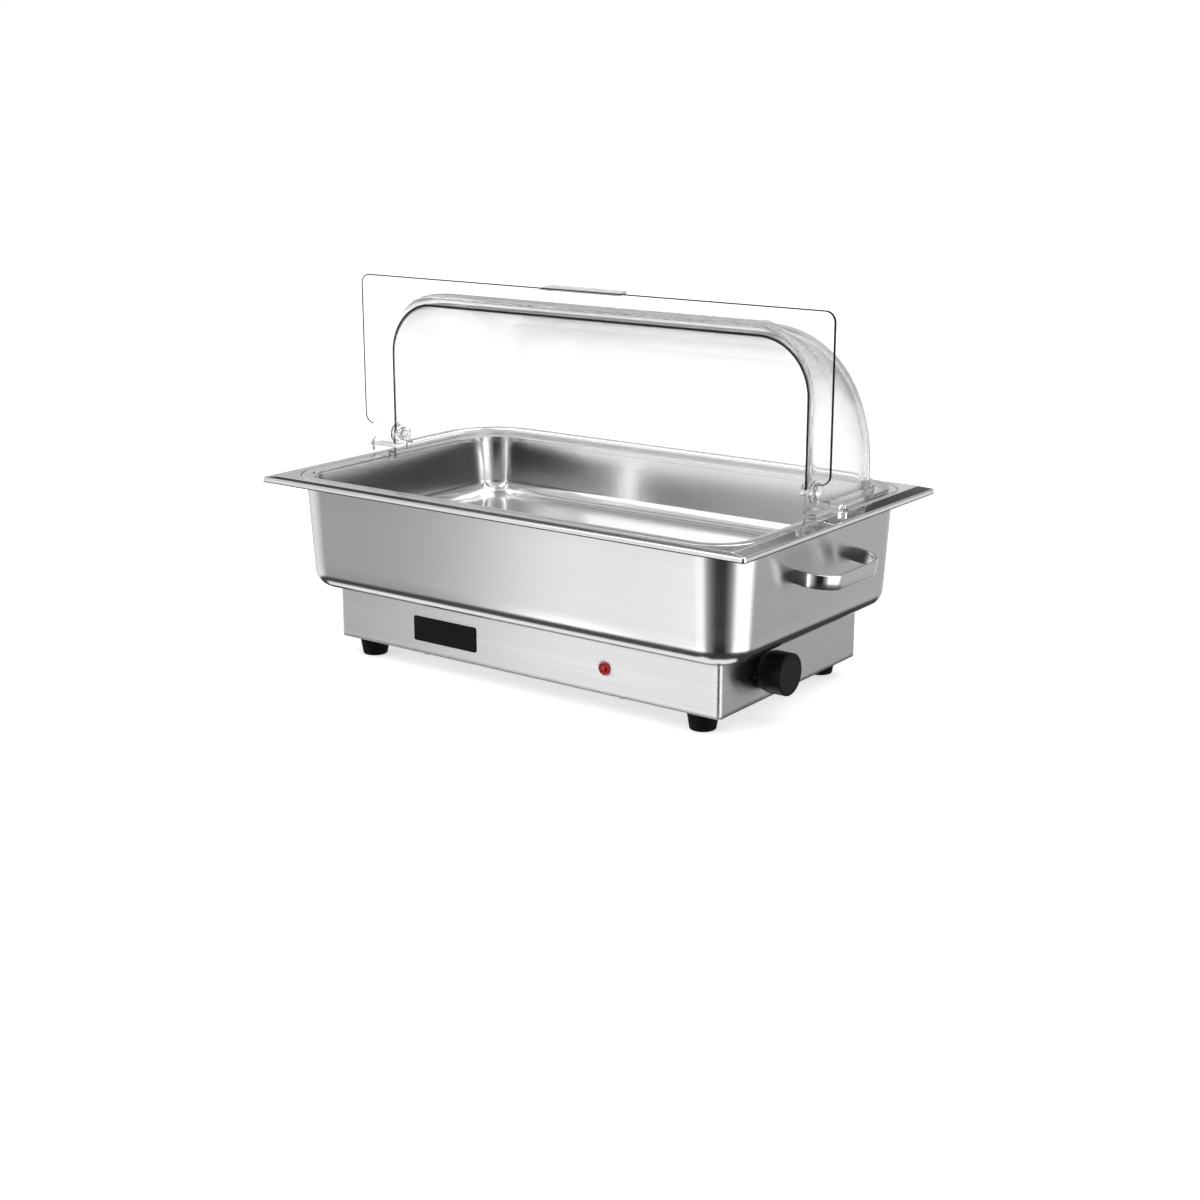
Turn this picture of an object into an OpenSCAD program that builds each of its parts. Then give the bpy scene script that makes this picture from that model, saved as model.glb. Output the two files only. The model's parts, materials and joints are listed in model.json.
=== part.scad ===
// Electric chafing dish: a drawn water pan on a sheet-steel base, with a lift-out food pan
// and a clear roll-top cover, shown with the cover rolled open.
// Millimetres. +X runs along the dish to the knob end, -Y is the front, +Z is up.
// The origin is on the table under the middle of the dish.

/* [Food pan] */
// Length over the food pan's rim
pan_l = 530; // [510:1:560]
// Width over the food pan's rim
pan_w = 325; // [310:1:345]
// Depth from the food pan's rim to its underside
pan_depth = 65; // [40:1:80]
// Width of the food pan's flat rim
pan_rim = 12; // [9:0.5:14]
// Corner radius of the food pan's rim
pan_corner = 46; // [42:1:52]
// Fillet between the food pan's walls and bottom
pan_fillet = 16; // [8:1:20]
// How far each wall of the food pan leans out over its depth
pan_lean = 7; // [4:0.5:9]
// Bend between the food pan's walls and rim
pan_bend = 4; // [2:0.5:6]
// Sheet thickness of the food pan
pan_t = 0.9; // [0.6:0.1:1.2]
// Play between the food pan's rim and the recess that it lies in
pan_play = 1.5; // [1:0.1:2]

/* [Water pan] */
// Depth from the water pan's rim to its underside
tub_depth = 114.5; // [100:0.5:130]
// Overlap of the food pan's rim on the water pan's wall at the ends
tub_seat_end = 2; // [1.5:0.5:5]
// Overlap of the food pan's rim on the water pan's wall at the sides
tub_seat_side = 7; // [5.5:0.5:9]
// Corner radius of the water pan's wall at the underside
tub_corner = 36; // [30:1:46]
// Fillet between the water pan's walls and bottom
tub_fillet = 18; // [8:1:22]
// How far each wall of the water pan leans out over its height
tub_lean = 6.4; // [4:0.2:9]
// Bend between the water pan's walls and rim
tub_bend = 4; // [2:0.5:5]
// Sheet thickness of the water pan
tub_t = 1; // [0.8:0.1:1.2]

/* [Rim] */
// Width of the water pan's rim outside the food pan at the ends
rim_end = 18; // [14:0.5:22]
// Width of the water pan's rim outside the food pan at the sides
rim_side = 11; // [10.5:0.5:16]
// Depth of the recess that the food pan's rim lies in
rim_step = 2; // [1.6:0.1:3]
// Height of the turned-down lip
rim_lip = 7; // [5:0.5:9]
// Corner radius of the rim's outside
rim_corner = 4; // [3:0.5:10]
// Width of the rim's sloping outer band at the sides
rim_slope_side = 6; // [4:0.5:7]
// Fall of the rim's sloping outer band
rim_fall = 1.8; // [0.6:0.1:2.4]

/* [Handles] */
// Distance between the legs of a handle, outside to outside
handle_span = 108; // [90:1:130]
// Reach of a handle from the wall
handle_reach = 36; // [32:1:42]
// Height of the handle's strap
strap_h = 14; // [10:0.5:18]
// Thickness of the handle's strap
strap_t = 3; // [2:0.5:4]
// Outer bend radius of the handle's strap
strap_bend = 26; // [14:1:30]
// Droop of the handles in degrees
handle_droop = 8; // [0:1:14]
// Middle of the strap below the rim, at the wall
handle_down = 45.5; // [36:0.5:60]

/* [Base] */
// Length of the base housing
housing_l = 458; // [430:1:470]
// Width of the base housing
housing_w = 246; // [230:1:256]
// Height of the base housing
housing_h = 53.5; // [50:0.5:65]
// Corner radius of the base housing
housing_corner = 4; // [2:0.5:8]
// Sheet thickness of the base housing
housing_t = 1; // [0.8:0.1:1.5]
// Width of the housing's folded edges
housing_fold = 12; // [10:0.5:13]
// Thickness of the bottom cover
cover_plate_t = 1; // [0.8:0.1:1.5]
// Play round the bottom cover
cover_plate_play = 0.5; // [0.3:0.1:1]

/* [Feet] */
// Height of a foot
foot_h = 18; // [14:0.5:24]
// Diameter of a foot where it meets the base
foot_top_d = 30; // [24:0.5:32]
// Diameter of a foot on the table
foot_base_d = 25; // [20:0.5:28]
// Foot centre from the end of the housing
foot_in_end = 29; // [24:1:40]
// Foot centre from the side of the housing
foot_in_side = 18; // [17:0.5:26]

/* [Controls] */
// Diameter of the control knob
knob_d = 40; // [34:0.5:44]
// Length of the control knob
knob_l = 25; // [20:0.5:30]
// Gap between the knob and the housing
knob_gap = 3; // [2.6:0.1:5]
// Knob axis from the middle of the end wall, towards the back
knob_y = -48; // [-70:1:-30]
// Knob axis above the housing's underside
knob_up = 28.5; // [24:0.5:32]
// Diameter of the thermostat's shaft
shaft_d = 6; // [5:0.5:8]
// Diameter of the indicator lamp's bezel
lamp_d = 12.4; // [12:0.2:16]
// Diameter of the indicator lamp's barrel
lamp_barrel_d = 10; // [8:0.2:11]
// Lamp centre along the front wall
lamp_x = 103; // [60:1:150]
// Lamp centre above the housing's underside
lamp_up = 25; // [22:0.5:30]
// Width of the bare plate on the front wall
plate_w = 79; // [60:1:100]
// Height of the bare plate on the front wall
plate_h = 25; // [18:0.5:32]
// Thickness of the bare plate
plate_t = 0.8; // [0.5:0.1:1.5]
// Plate centre along the front wall
plate_x = -90; // [-140:1:-60]
// Plate centre above the housing's underside
plate_up = 25; // [22:0.5:30]

/* [Heater] */
// Length of the heat spreader
spreader_l = 300; // [280:1:320]
// Width of the heat spreader
spreader_w = 184; // [176:1:190]
// Thickness of the heat spreader
spreader_t = 4; // [3:0.5:5]
// Diameter of the heating element's tube
element_d = 8; // [6.5:0.5:9]
// Distance between the element's runs
element_pitch = 40; // [34:1:44]
// Element's straight runs from the ends of the heat spreader
element_in = 35; // [30:1:44]
// Thickness of a clamp bar
clamp_t = 2; // [1.5:0.5:3]
// Distance of the clamp bars from the middle
clamp_x = 60; // [40:1:80]

/* [Cover] */
// Wall of the clear covers
cover_t = 2.5; // [2:0.1:3]
// Hinge axis above the rim
hinge_up = 21; // [19:0.5:26]
// Hinge axis from the middle of the dish, towards the back
hinge_y = -4.5; // [-10:0.5:2]
// Front cover's ends from the edge of the food pan's rim
dome_in_end = 12; // [10:0.5:16]
// Shoulder radius of the front cover
dome_corner = 62; // [50:1:70]
// Gap between the two covers' ends
dome_gap_end = 2; // [1.6:0.1:3]
// Gap between the two covers' curved walls
dome_gap_roof = 5.5; // [3:0.5:8]
// Width of the front cover's flange
flange_w = 19; // [16:0.5:24]
// Front flange from the edge of the rim at the sides
flange_in_side = 3; // [2:0.5:5]
// Front flange from the edge of the rim at the ends
flange_in_end = 5; // [3:0.5:7]
// Bend between the front cover's wall and flange
flange_bend = 9; // [5:0.5:11]
// Corner radius of the front flange
flange_corner = 10; // [6:0.5:14]
// Height of the resting gap under the covers
seat_gap = 0.4; // [0.3:0.1:0.6]
// Width of the grip lip on the front flange
grip_w = 93; // [70:1:120]
// Length of the grip lip
grip_l = 17; // [12:0.5:22]
// Radius of the hinge ears
ear_r = 11; // [10:0.5:12]
// Diameter of the hinge pins
pin_d = 8; // [6:0.5:9]
// Radial play of the hinge pins
pin_play = 0.1; // [0.05:0.01:0.1]
// Width of the rear cover's base rail
rail_w = 9.5; // [9:0.1:11]
// Height of the rear cover's base rail above the rim
rail_h = 10.5; // [9:0.5:11]
// Start of the base rail behind the hinge axis
rail_start = 17; // [15:0.5:24]

/* [Hidden] */
$fn = 96;

steel = [0.78, 0.78, 0.79];
zinc = [0.66, 0.67, 0.69];
alloy = [0.82, 0.83, 0.85];
black = [0.07, 0.07, 0.07];
red = [0.72, 0.05, 0.05];
clear = [0.82, 0.88, 0.92, 0.35];
brass = [0.78, 0.62, 0.28];
ceramic = [0.93, 0.91, 0.86];

// Rim, water pan and food pan, from the food pan's size outwards
rim_l = pan_l + 2 * rim_end;
rim_w = pan_w + 2 * rim_side;
tub_z = foot_h + housing_h;
rim_z = tub_z + tub_depth;
tub_h = tub_depth - rim_step;
tub_l = pan_l - 2 * (tub_seat_end + tub_lean);
tub_w = pan_w - 2 * (tub_seat_side + tub_lean);
pan_base_l = pan_l - 2 * (pan_rim + pan_lean);
pan_base_w = pan_w - 2 * (pan_rim + pan_lean);
pan_base_corner = pan_corner - pan_rim - pan_lean;
recess_l = pan_l + 2 * pan_play;
recess_w = pan_w + 2 * pan_play;
recess_corner = pan_corner + pan_play;
tub_angle = atan(tub_lean / tub_h);
rim_lap = 1;
rim_slope_end = rim_end - pan_play - tub_t;

// Screws and studs
screw_d = 4;
screw_play = 0.2;
nut_play = 0.05;
screw_head_d = 7.5;
screw_head_h = 2.2;
m4_nut_across = 7;
m4_nut_h = 3.2;
stud_d = 5;
stud_nut_across = 8;
stud_nut_h = 4;
face_gap = 0.2;

// Base
cover_z = foot_h;
fold_z = cover_z + cover_plate_t;
fold_mid = housing_t + housing_fold / 2;
inner_end = housing_l / 2 - housing_t;
inner_side = housing_w / 2 - housing_t;
foot_x = housing_l / 2 - foot_in_end;
foot_y = housing_w / 2 - foot_in_side;
housing_stud_in = 77;
housing_stud_x = housing_l / 2 - housing_stud_in;
housing_stud_y = housing_w / 2 - fold_mid;
housing_stud_l = housing_t + m4_nut_h + 2;
cover_screw_in = 110;
cover_screw_x = housing_l / 2 - cover_screw_in;
cover_screw_end_in = 70;
cover_screw_end_y = housing_w / 2 - cover_screw_end_in;
vent = [46, 6];
vent_pitch = [66, 16];

// Heater stack, from the water pan's underside down
heater_x = -20;
spreader_z = tub_z - spreader_t;
element_z = spreader_z - face_gap - element_d / 2;
clamp_z = element_z - element_d / 2 - face_gap - clamp_t;
clamp_nut_z = clamp_z - stud_nut_h;
shield_t = 0.8;
shield_edge = 6;
shield_in = 1;
shield_z = clamp_nut_z - shield_t;
shield_nut_z = shield_z - stud_nut_h;
heater_stud_l = tub_z - shield_nut_z + 1.5;
clamp_w = 24;
heater_stud_y = 1.5 * element_pitch + element_d / 2 + stud_d / 2 + 7;
element_tail = 24;
element_run = spreader_l - 2 * element_in;

// Thermostat, its sensor and the cut-out
knob_z = foot_h + knob_up;
stat_plate_t = 1.5;
stat_plate = [stat_plate_t, 42, 26];
stat_size = [28, 34, 30];
stat_screw_y = 15;
shaft_in = 12;
knob_bore_l = 16;
shaft_flat = 1;
bulb_d = 6;
bulb_l = 70;
capillary_d = 2;
capillary_bend = 5;
bulb_z = tub_z - face_gap - bulb_d / 2;
stat_x = inner_end - stat_plate_t - stat_size[0] / 2;
stat_top = knob_z + stat_size[2] / 2;
bulb_y = knob_y + capillary_bend + 26;
bulb_x = housing_l / 2 - housing_fold - bulb_d / 2 - 8;
clip_w = 8;
clip_t = 0.8;
clip_foot = 6;
cutout_x = spreader_l / 2 + heater_x + 26;
cutout_y = 30;
cutout_d = 15;
cutout_h = 9;
cutout_plate = [12, 34, 1.2];
cutout_stud_y = 12;
cutout_stud_d = 3;
cutout_nut_across = 5.5;
cutout_nut_h = 2.4;
cutout_stud_l = cutout_plate[2] + cutout_nut_h + 1;

// Terminal block, gland and wires
block_size = [46, 20, 17];
block_in = 65;
block_x = housing_l / 2 - block_in;
block_y = 70;
block_pitch = 14;
block_z = fold_z;
gland_up = 27;
gland_z = foot_h + gland_up;
gland_thread_d = 16;
gland_bore_d = 8.5;
gland_across = 22;
gland_flange = 5;
gland_dome_d = 20;
gland_dome_l = 12;
gland_nut_h = 5;
gland_thread_l = housing_t + gland_nut_h + 3;
wire_d = 2.4;
wire_knee = 0.2;

// Lamp
lamp_z = foot_h + lamp_up;
lamp_rim = 1.6;
lamp_depth = 20;
lamp_lens_d = 8.6;
lamp_dome = 2.2;
lamp_seat = 1;
lamp_nut_across = 14;
lamp_nut_h = 3;
plate_corner = 2;

// Covers, from the rim's size and the hinge axis
hinge_z = rim_z + hinge_up;
flange_reach = rim_w / 2 - flange_in_side + hinge_y;
flange_half = rim_l / 2 - flange_in_end;
flange_front = hinge_up - seat_gap;
arm_foot = ear_r + 0.5;
front_r = flange_reach - flange_w;
front_half = pan_l / 2 - dome_in_end;
rear_r = front_r - cover_t - dome_gap_roof;
rear_half = front_half - cover_t - dome_gap_end;
rear_corner = dome_corner - cover_t - dome_gap_roof;
rear_lip = 8;
edge_bead = 1.8;
shelf_f = hinge_up - rail_h;
trail = shelf_f - 0.5;
base_f = hinge_up - seat_gap;
locate = 4;
base_half = rear_half + rail_w + 0.5;
base_in_side = 17.5;
base_rear = rim_w / 2 - base_in_side - hinge_y;
base_corner = 42;
base_front = 9;
skirt_front = ear_r;
tongue_w = 16;
tongue_front = ear_r - 0.5;
tongue_f = ear_r + 0.6;
tongue_end = rim_l / 2 + 0.5;
tab_t = 4;
tab_w = 9;
tab_h = 13.5;
pin_head_d = 18;
pin_head_h = 3;
pin_head_gap = 0.3;
cap_d = 14;
cap_l = 6;
cap_wall = 1.5;
spacer_r = 3;
spacer_h = 1.4;

// A rounded rectangle, centred
module rounded_rect(l, w, r) {
    square([l, w - 2 * r], center = true);
    square([l - 2 * r, w], center = true);
    for (x = [-1, 1], y = [-1, 1]) translate([x * (l / 2 - r), y * (w / 2 - r)]) circle(r);
}

// A flat ring between two rounded rectangles
module rect_ring(l, w, r, l_in, w_in, r_in) {
    difference() {
        rounded_rect(l, w, r);
        rounded_rect(l_in, w_in, r_in);
    }
}

// Sector of a bent sheet, outer radius r and thickness t, between two angles
module bent(r, t, a0, a1) {
    mid = (a0 + a1) / 2;
    intersection() {
        difference() {
            circle(r);
            circle(r - t);
        }
        polygon([[0, 0], 2 * r * [cos(a0), sin(a0)], 2 * r * [cos(mid), sin(mid)],
            2 * r * [cos(a1), sin(a1)]]);
    }
}

// Sweeps a section round a rounded rectangle: x is 0 on the outline, y is up
module ring_sweep(l, w, r) {
    for (turn = [0, 180]) rotate(turn) {
        translate([l / 2, 0, 0]) rotate([90, 0, 0]) linear_extrude(w - 2 * r, center = true) children();
        translate([0, w / 2, 0]) rotate([90, 0, 90]) linear_extrude(l - 2 * r, center = true) children();
        translate([l / 2 - r, w / 2 - r, 0]) rotate_extrude(angle = 90) translate([r, 0]) children();
        translate([r - l / 2, w / 2 - r, 0]) rotate(90) rotate_extrude(angle = 90) translate([r, 0]) children();
    }
}

// Points along an arc
function arc(c, r, a0, a1, steps) =
    [for (i = [0 : steps]) let (a = a0 + (a1 - a0) * i / steps) c + r * [cos(a), sin(a)]];

// Where a drawn wall's rim bend ends, from the outline at the underside
function bend_out(depth, lean, t, bend) =
    let (a = atan(lean / depth), z = depth - bend + (bend - t) * sin(a))
    z * tan(a) + (bend - t) * cos(a);

// Section of drawn sheet: bottom, fillet, leaning wall, rim bend and the edge points that follow it
module drawn_section(depth, lean, fillet, t, bend, reach, edge) {
    a = atan(lean / depth);
    f = [-fillet * (1 - sin(a)) / cos(a), fillet];
    c = [bend_out(depth, lean, t, bend), depth - bend];
    polygon(concat([[-reach, 0]], arc(f, fillet, -90, -a, 8), arc(c, bend - t, 180 - a, 90, 5), edge,
        arc(c, bend, 90, 180 - a, 5), arc(f, fillet - t, -a, -90, 8), [[-reach, t]]));
}

// Drawn basin: the section round the outline and the flat bottom
module basin(l, w, corner, depth, lean, fillet, t, bend, edge) {
    ring_sweep(l, w, corner) drawn_section(depth, lean, fillet, t, bend, corner, edge);
    translate([0, 0, t / 2]) cube([l - 2 * corner, w - 2 * corner, t], center = true);
}

// Screw with its head below z = 0 and its shank going up
module screw(d, l, head_d, head_h) {
    cylinder(d = d, h = l);
    translate([0, 0, -head_h]) cylinder(d = head_d, h = head_h);
}

// Hexagon nut standing on z = 0
module nut(d, across, h) {
    difference() {
        cylinder(d = across / cos(30), h = h, $fn = 6);
        translate([0, 0, -1]) cylinder(d = d + 2 * nut_play, h = h + 2);
    }
}

module at_feet() {
    for (x = [-1, 1], y = [-1, 1]) translate([x * foot_x, y * foot_y, 0]) children();
}

module at_housing_studs() {
    for (x = [-1, 0, 1], y = [-1, 1]) translate([x * housing_stud_x, y * housing_stud_y, 0]) children();
}

module at_cover_screws() {
    for (x = [-1, 1], y = [-1, 1]) {
        translate([x * cover_screw_x, y * (housing_w / 2 - fold_mid), 0]) children();
        translate([x * (housing_l / 2 - fold_mid), y * cover_screw_end_y, 0]) children();
    }
}

module at_heater_studs() {
    for (x = [-1, 1], y = [-1, 0, 1]) translate([heater_x + x * clamp_x, y * heater_stud_y, 0]) children();
}

module at_cutout_studs() {
    for (y = [-1, 1]) translate([cutout_x, cutout_y + y * cutout_stud_y, 0]) children();
}

// Folded box, open in the middle above and below
module base_housing() {
    wall_in = 2 * housing_t;
    fold_in = 2 * housing_fold;
    color(steel) difference() {
        union() {
            translate([0, 0, foot_h]) linear_extrude(housing_h)
                rect_ring(housing_l, housing_w, housing_corner,
                    housing_l - wall_in, housing_w - wall_in, housing_corner - housing_t);
            for (z = [fold_z, tub_z - housing_t]) translate([0, 0, z]) linear_extrude(housing_t)
                rect_ring(housing_l, housing_w, housing_corner,
                    housing_l - fold_in, housing_w - fold_in, housing_corner);
        }
        at_housing_studs() translate([0, 0, tub_z - housing_t - 1])
            cylinder(d = screw_d + 2 * screw_play, h = housing_t + 2);
        at_cover_screws() translate([0, 0, fold_z - 1])
            cylinder(d = screw_d + 2 * screw_play, h = housing_t + 2);
        translate([lamp_x, 1 - inner_side, lamp_z]) rotate([90, 0, 0])
            cylinder(d = lamp_barrel_d + 2 * screw_play, h = housing_t + 2);
        translate([inner_end - 1, knob_y, knob_z]) rotate([0, 90, 0]) {
            cylinder(d = shaft_d + 3, h = housing_t + 2);
            for (y = [-1, 1]) translate([0, y * stat_screw_y, 0])
                cylinder(d = screw_d + 2 * screw_play, h = housing_t + 2);
        }
        translate([block_x, inner_side + housing_t + 1, gland_z]) rotate([90, 0, 0])
            cylinder(d = gland_thread_d + 2 * screw_play, h = housing_t + 2);
    }
}

// Flat plate inside the lower edge of the housing, with vent slots
module bottom_cover() {
    inset = 2 * (housing_t + cover_plate_play);
    color(zinc) translate([0, 0, cover_z]) linear_extrude(cover_plate_t) difference() {
        rounded_rect(housing_l - inset, housing_w - inset, housing_corner - housing_t - cover_plate_play);
        at_feet() circle(d = screw_d + 2 * screw_play);
        at_cover_screws() circle(d = screw_d + 2 * screw_play);
        for (x = [-2 : 1], y = [-2 : 2]) translate([x * vent_pitch[0], y * vent_pitch[1]])
            rounded_rect(vent[0], vent[1], vent[1] / 2 - 0.01);
    }
}

module bottom_cover_screws() {
    color(zinc) at_cover_screws() translate([0, 0, cover_z])
        screw(screw_d, cover_plate_t + housing_t + 3, screw_head_d, screw_head_h);
}

// Tapered rubber foot with a deep counterbore for its screw
module foot(x, y) {
    edge = 1.5;
    bore_d = screw_d + 2 * screw_play;
    counterbore_d = screw_head_d + 2;
    floor_t = 5;
    color(black) translate([x * foot_x, y * foot_y, 0]) rotate_extrude() polygon([
        [counterbore_d / 2, 0], [foot_base_d / 2 - edge, 0], [foot_base_d / 2, edge],
        [foot_top_d / 2, foot_h - edge], [foot_top_d / 2, foot_h], [bore_d / 2, foot_h],
        [bore_d / 2, foot_h - floor_t], [counterbore_d / 2, foot_h - floor_t]]);
}

module foot_front_left() { foot(-1, -1); }
module foot_front_right() { foot(1, -1); }
module foot_rear_left() { foot(-1, 1); }
module foot_rear_right() { foot(1, 1); }

module foot_screws() {
    floor_t = 5;
    color(zinc) at_feet() translate([0, 0, foot_h - floor_t])
        screw(screw_d, floor_t + cover_plate_t + m4_nut_h + 1, screw_head_d, screw_head_h);
}

module foot_nuts() {
    color(zinc) at_feet() translate([0, 0, fold_z]) nut(screw_d, m4_nut_across, m4_nut_h);
}

// Profile across the rim: flat in the middle, falling towards both edges and past them
module rim_profile(across, slope_w, low) {
    past = 2;
    half = across / 2;
    out = half + past;
    drop = -rim_fall * (1 + past / slope_w);
    polygon([[-out, low], [out, low], [out, drop], [half - slope_w, 0], [slope_w - half, 0], [-out, drop]]);
}

// Solid under the rim's sloping faces, drawn in by an inset
module rim_solid(inset) {
    low = -rim_lip;
    intersection() {
        rotate([90, 0, 0]) linear_extrude(rim_w, center = true) rim_profile(rim_l, rim_slope_end, low - 1);
        rotate([90, 0, 90]) linear_extrude(rim_l, center = true) rim_profile(rim_w, rim_slope_side, low - 1);
        translate([0, 0, low]) linear_extrude(rim_lip + 1)
            rounded_rect(rim_l - 2 * inset, rim_w - 2 * inset, rim_corner - inset);
    }
}

// Deep-drawn water pan with a stepped rim, and the studs welded under it
module water_pan() {
    seat = bend_out(tub_h, tub_lean, tub_t, tub_bend);
    lap = seat + rim_lap;
    step_l = recess_l + 2 * tub_t;
    step_w = recess_w + 2 * tub_t;
    color(steel) {
        translate([0, 0, tub_z]) basin(tub_l, tub_w, tub_corner, tub_h, tub_lean, tub_fillet, tub_t, tub_bend,
            [[lap, tub_h - tub_t], [lap, tub_h]]);
        translate([0, 0, rim_z - rim_step - tub_t]) linear_extrude(tub_t)
            rect_ring(step_l, step_w, recess_corner + tub_t,
                tub_l + seat + lap, tub_w + seat + lap, tub_corner + (seat + lap) / 2);
        translate([0, 0, rim_z - rim_step]) linear_extrude(rim_step)
            rect_ring(step_l, step_w, recess_corner + tub_t, recess_l, recess_w, recess_corner);
        translate([0, 0, rim_z]) difference() {
            rim_solid(0);
            translate([0, 0, -tub_t]) rim_solid(tub_t);
            translate([0, 0, -2 * rim_lip]) linear_extrude(3 * rim_lip) rounded_rect(recess_l, recess_w, recess_corner);
        }
        at_housing_studs() translate([0, 0, tub_z - housing_stud_l]) cylinder(d = screw_d, h = housing_stud_l);
        at_heater_studs() translate([0, 0, tub_z - heater_stud_l]) cylinder(d = stud_d, h = heater_stud_l);
        at_cutout_studs() translate([0, 0, tub_z - cutout_stud_l]) cylinder(d = cutout_stud_d, h = cutout_stud_l);
    }
}

module housing_nuts() {
    color(zinc) at_housing_studs() translate([0, 0, tub_z - housing_t - m4_nut_h])
        nut(screw_d, m4_nut_across, m4_nut_h);
}

// Flat strap bent to a U, welded to the leaning end wall
module handle() {
    wall_z = rim_z - handle_down;
    wall_x = tub_l / 2 + (wall_z - tub_z) * tan(tub_angle);
    deep = 2 * (handle_reach + strap_h);
    difference() {
        translate([wall_x, 0, wall_z]) rotate([0, handle_droop, 0]) linear_extrude(strap_h, center = true)
            rect_ring(2 * handle_reach, handle_span, strap_bend, 2 * (handle_reach - strap_t),
                handle_span - 2 * strap_t, strap_bend - strap_t);
        translate([wall_x, 0, wall_z]) rotate([0, tub_angle, 0]) translate([-deep, -handle_span, -deep])
            cube([deep, 2 * handle_span, 2 * deep]);
    }
}

module right_handle() { color(steel) handle(); }
module left_handle() { color(steel) mirror([1, 0, 0]) handle(); }

// Aluminium plate that spreads the heat over the water pan's bottom
module heat_spreader() {
    color(alloy) difference() {
        translate([heater_x, 0, spreader_z]) linear_extrude(spreader_t) rounded_rect(spreader_l, spreader_w, 12);
        at_heater_studs() translate([0, 0, spreader_z - 1]) cylinder(d = stud_d + 2 * screw_play, h = spreader_t + 2);
    }
}

// Tubular element: four runs joined by three bends, with a cold tail at each end
module heating_element() {
    bend_r = element_pitch / 2;
    color(zinc) translate([heater_x, 0, element_z]) {
        for (i = [-1 : 1]) {
            end = (i == 0) ? 1 : -1;
            translate([end * element_run / 2, i * element_pitch, 0]) rotate(end * -90)
                rotate_extrude(angle = 180) translate([bend_r, 0]) circle(d = element_d);
        }
        for (i = [-1.5 : 1.5]) translate([-element_run / 2, i * element_pitch, 0]) rotate([0, 90, 0])
            cylinder(d = element_d, h = element_run + (abs(i) > 1 ? element_tail : 0));
    }
}

// Pressed bar that holds the element up against the spreader
module clamp_bar(x) {
    color(zinc) difference() {
        translate([heater_x + x * clamp_x, 0, clamp_z]) linear_extrude(clamp_t)
            rounded_rect(clamp_w, 2 * heater_stud_y + clamp_w / 2, clamp_w / 4);
        at_heater_studs() translate([0, 0, clamp_z - 1]) cylinder(d = stud_d + 2 * screw_play, h = clamp_t + 2);
    }
}

module front_clamp_bar() { clamp_bar(-1); }
module rear_clamp_bar() { clamp_bar(1); }

module clamp_nuts() {
    color(zinc) at_heater_studs() translate([0, 0, clamp_nut_z]) nut(stud_d, stud_nut_across, stud_nut_h);
}

// Shallow tray that keeps the heat off the bottom cover
module heat_shield() {
    shield_l = element_run + element_pitch + element_d - 2 * shield_in;
    shield_w = 2 * heater_stud_y + 2 * stud_nut_across;
    corner = 6;
    color(alloy) difference() {
        translate([heater_x, 0, shield_z]) {
            linear_extrude(shield_t) rounded_rect(shield_l, shield_w, corner);
            linear_extrude(shield_edge) rect_ring(shield_l, shield_w, corner,
                shield_l - 2 * shield_t, shield_w - 2 * shield_t, corner - shield_t);
        }
        at_heater_studs() translate([0, 0, shield_z - 1]) cylinder(d = stud_d + 2 * screw_play, h = shield_t + 2);
    }
}

module shield_nuts() {
    color(zinc) at_heater_studs() translate([0, 0, shield_nut_z]) nut(stud_d, stud_nut_across, stud_nut_h);
}

// Capillary thermostat behind the right end wall
module thermostat_body() {
    color(ceramic) difference() {
        union() {
            translate([inner_end - stat_plate_t / 2, knob_y, knob_z]) cube(stat_plate, center = true);
            translate([stat_x, knob_y, knob_z]) cube(stat_size, center = true);
        }
        translate([inner_end - shaft_in, knob_y, knob_z]) rotate([0, 90, 0])
            cylinder(d = shaft_d + 2 * pin_play, h = shaft_in + 1);
        for (y = [-1, 1]) translate([inner_end + 1, knob_y + y * stat_screw_y, knob_z]) rotate([0, -90, 0])
            cylinder(d = screw_d + 2 * nut_play, h = 10);
    }
}

module thermostat_screws() {
    color(zinc) for (y = [-1, 1]) translate([housing_l / 2, knob_y + y * stat_screw_y, knob_z])
        rotate([0, -90, 0]) screw(screw_d, housing_t + 7, screw_head_d - 1, screw_head_h);
}

// Shaft with a flat along its outer end
module thermostat_shaft() {
    flat_l = knob_gap + knob_bore_l - 2;
    total = shaft_in + housing_t + knob_gap + knob_bore_l;
    color(zinc) translate([inner_end - shaft_in + 0.5, knob_y, knob_z]) rotate([0, 90, 0]) difference() {
        cylinder(d = shaft_d, h = total - 1);
        translate([shaft_d / 2 - shaft_flat, -shaft_d, total - 1 - flat_l]) cube([shaft_d, 2 * shaft_d, flat_l + 1]);
    }
}

// Black knob with a chamfered face and a slightly narrower back
module control_knob() {
    chamfer = 1.6;
    back_in = 1.5;
    back_l = 6;
    r = knob_d / 2;
    bore_r = shaft_d / 2 + pin_play;
    color(black) translate([housing_l / 2 + knob_gap, knob_y, knob_z]) rotate([0, 90, 0]) {
        difference() {
            rotate_extrude() polygon([[0, 0], [r - back_in, 0], [r, back_l], [r, knob_l - chamfer],
                [r - chamfer, knob_l], [0, knob_l]]);
            translate([0, 0, -1]) cylinder(r = bore_r, h = knob_bore_l + 1);
        }
        translate([bore_r - shaft_flat + pin_play, -bore_r, 2]) intersection() {
            cube([shaft_flat, 2 * bore_r, knob_bore_l - 2]);
            translate([shaft_flat - pin_play - bore_r, bore_r, 0]) cylinder(r = bore_r + 0.5, h = knob_bore_l);
        }
    }
}

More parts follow.
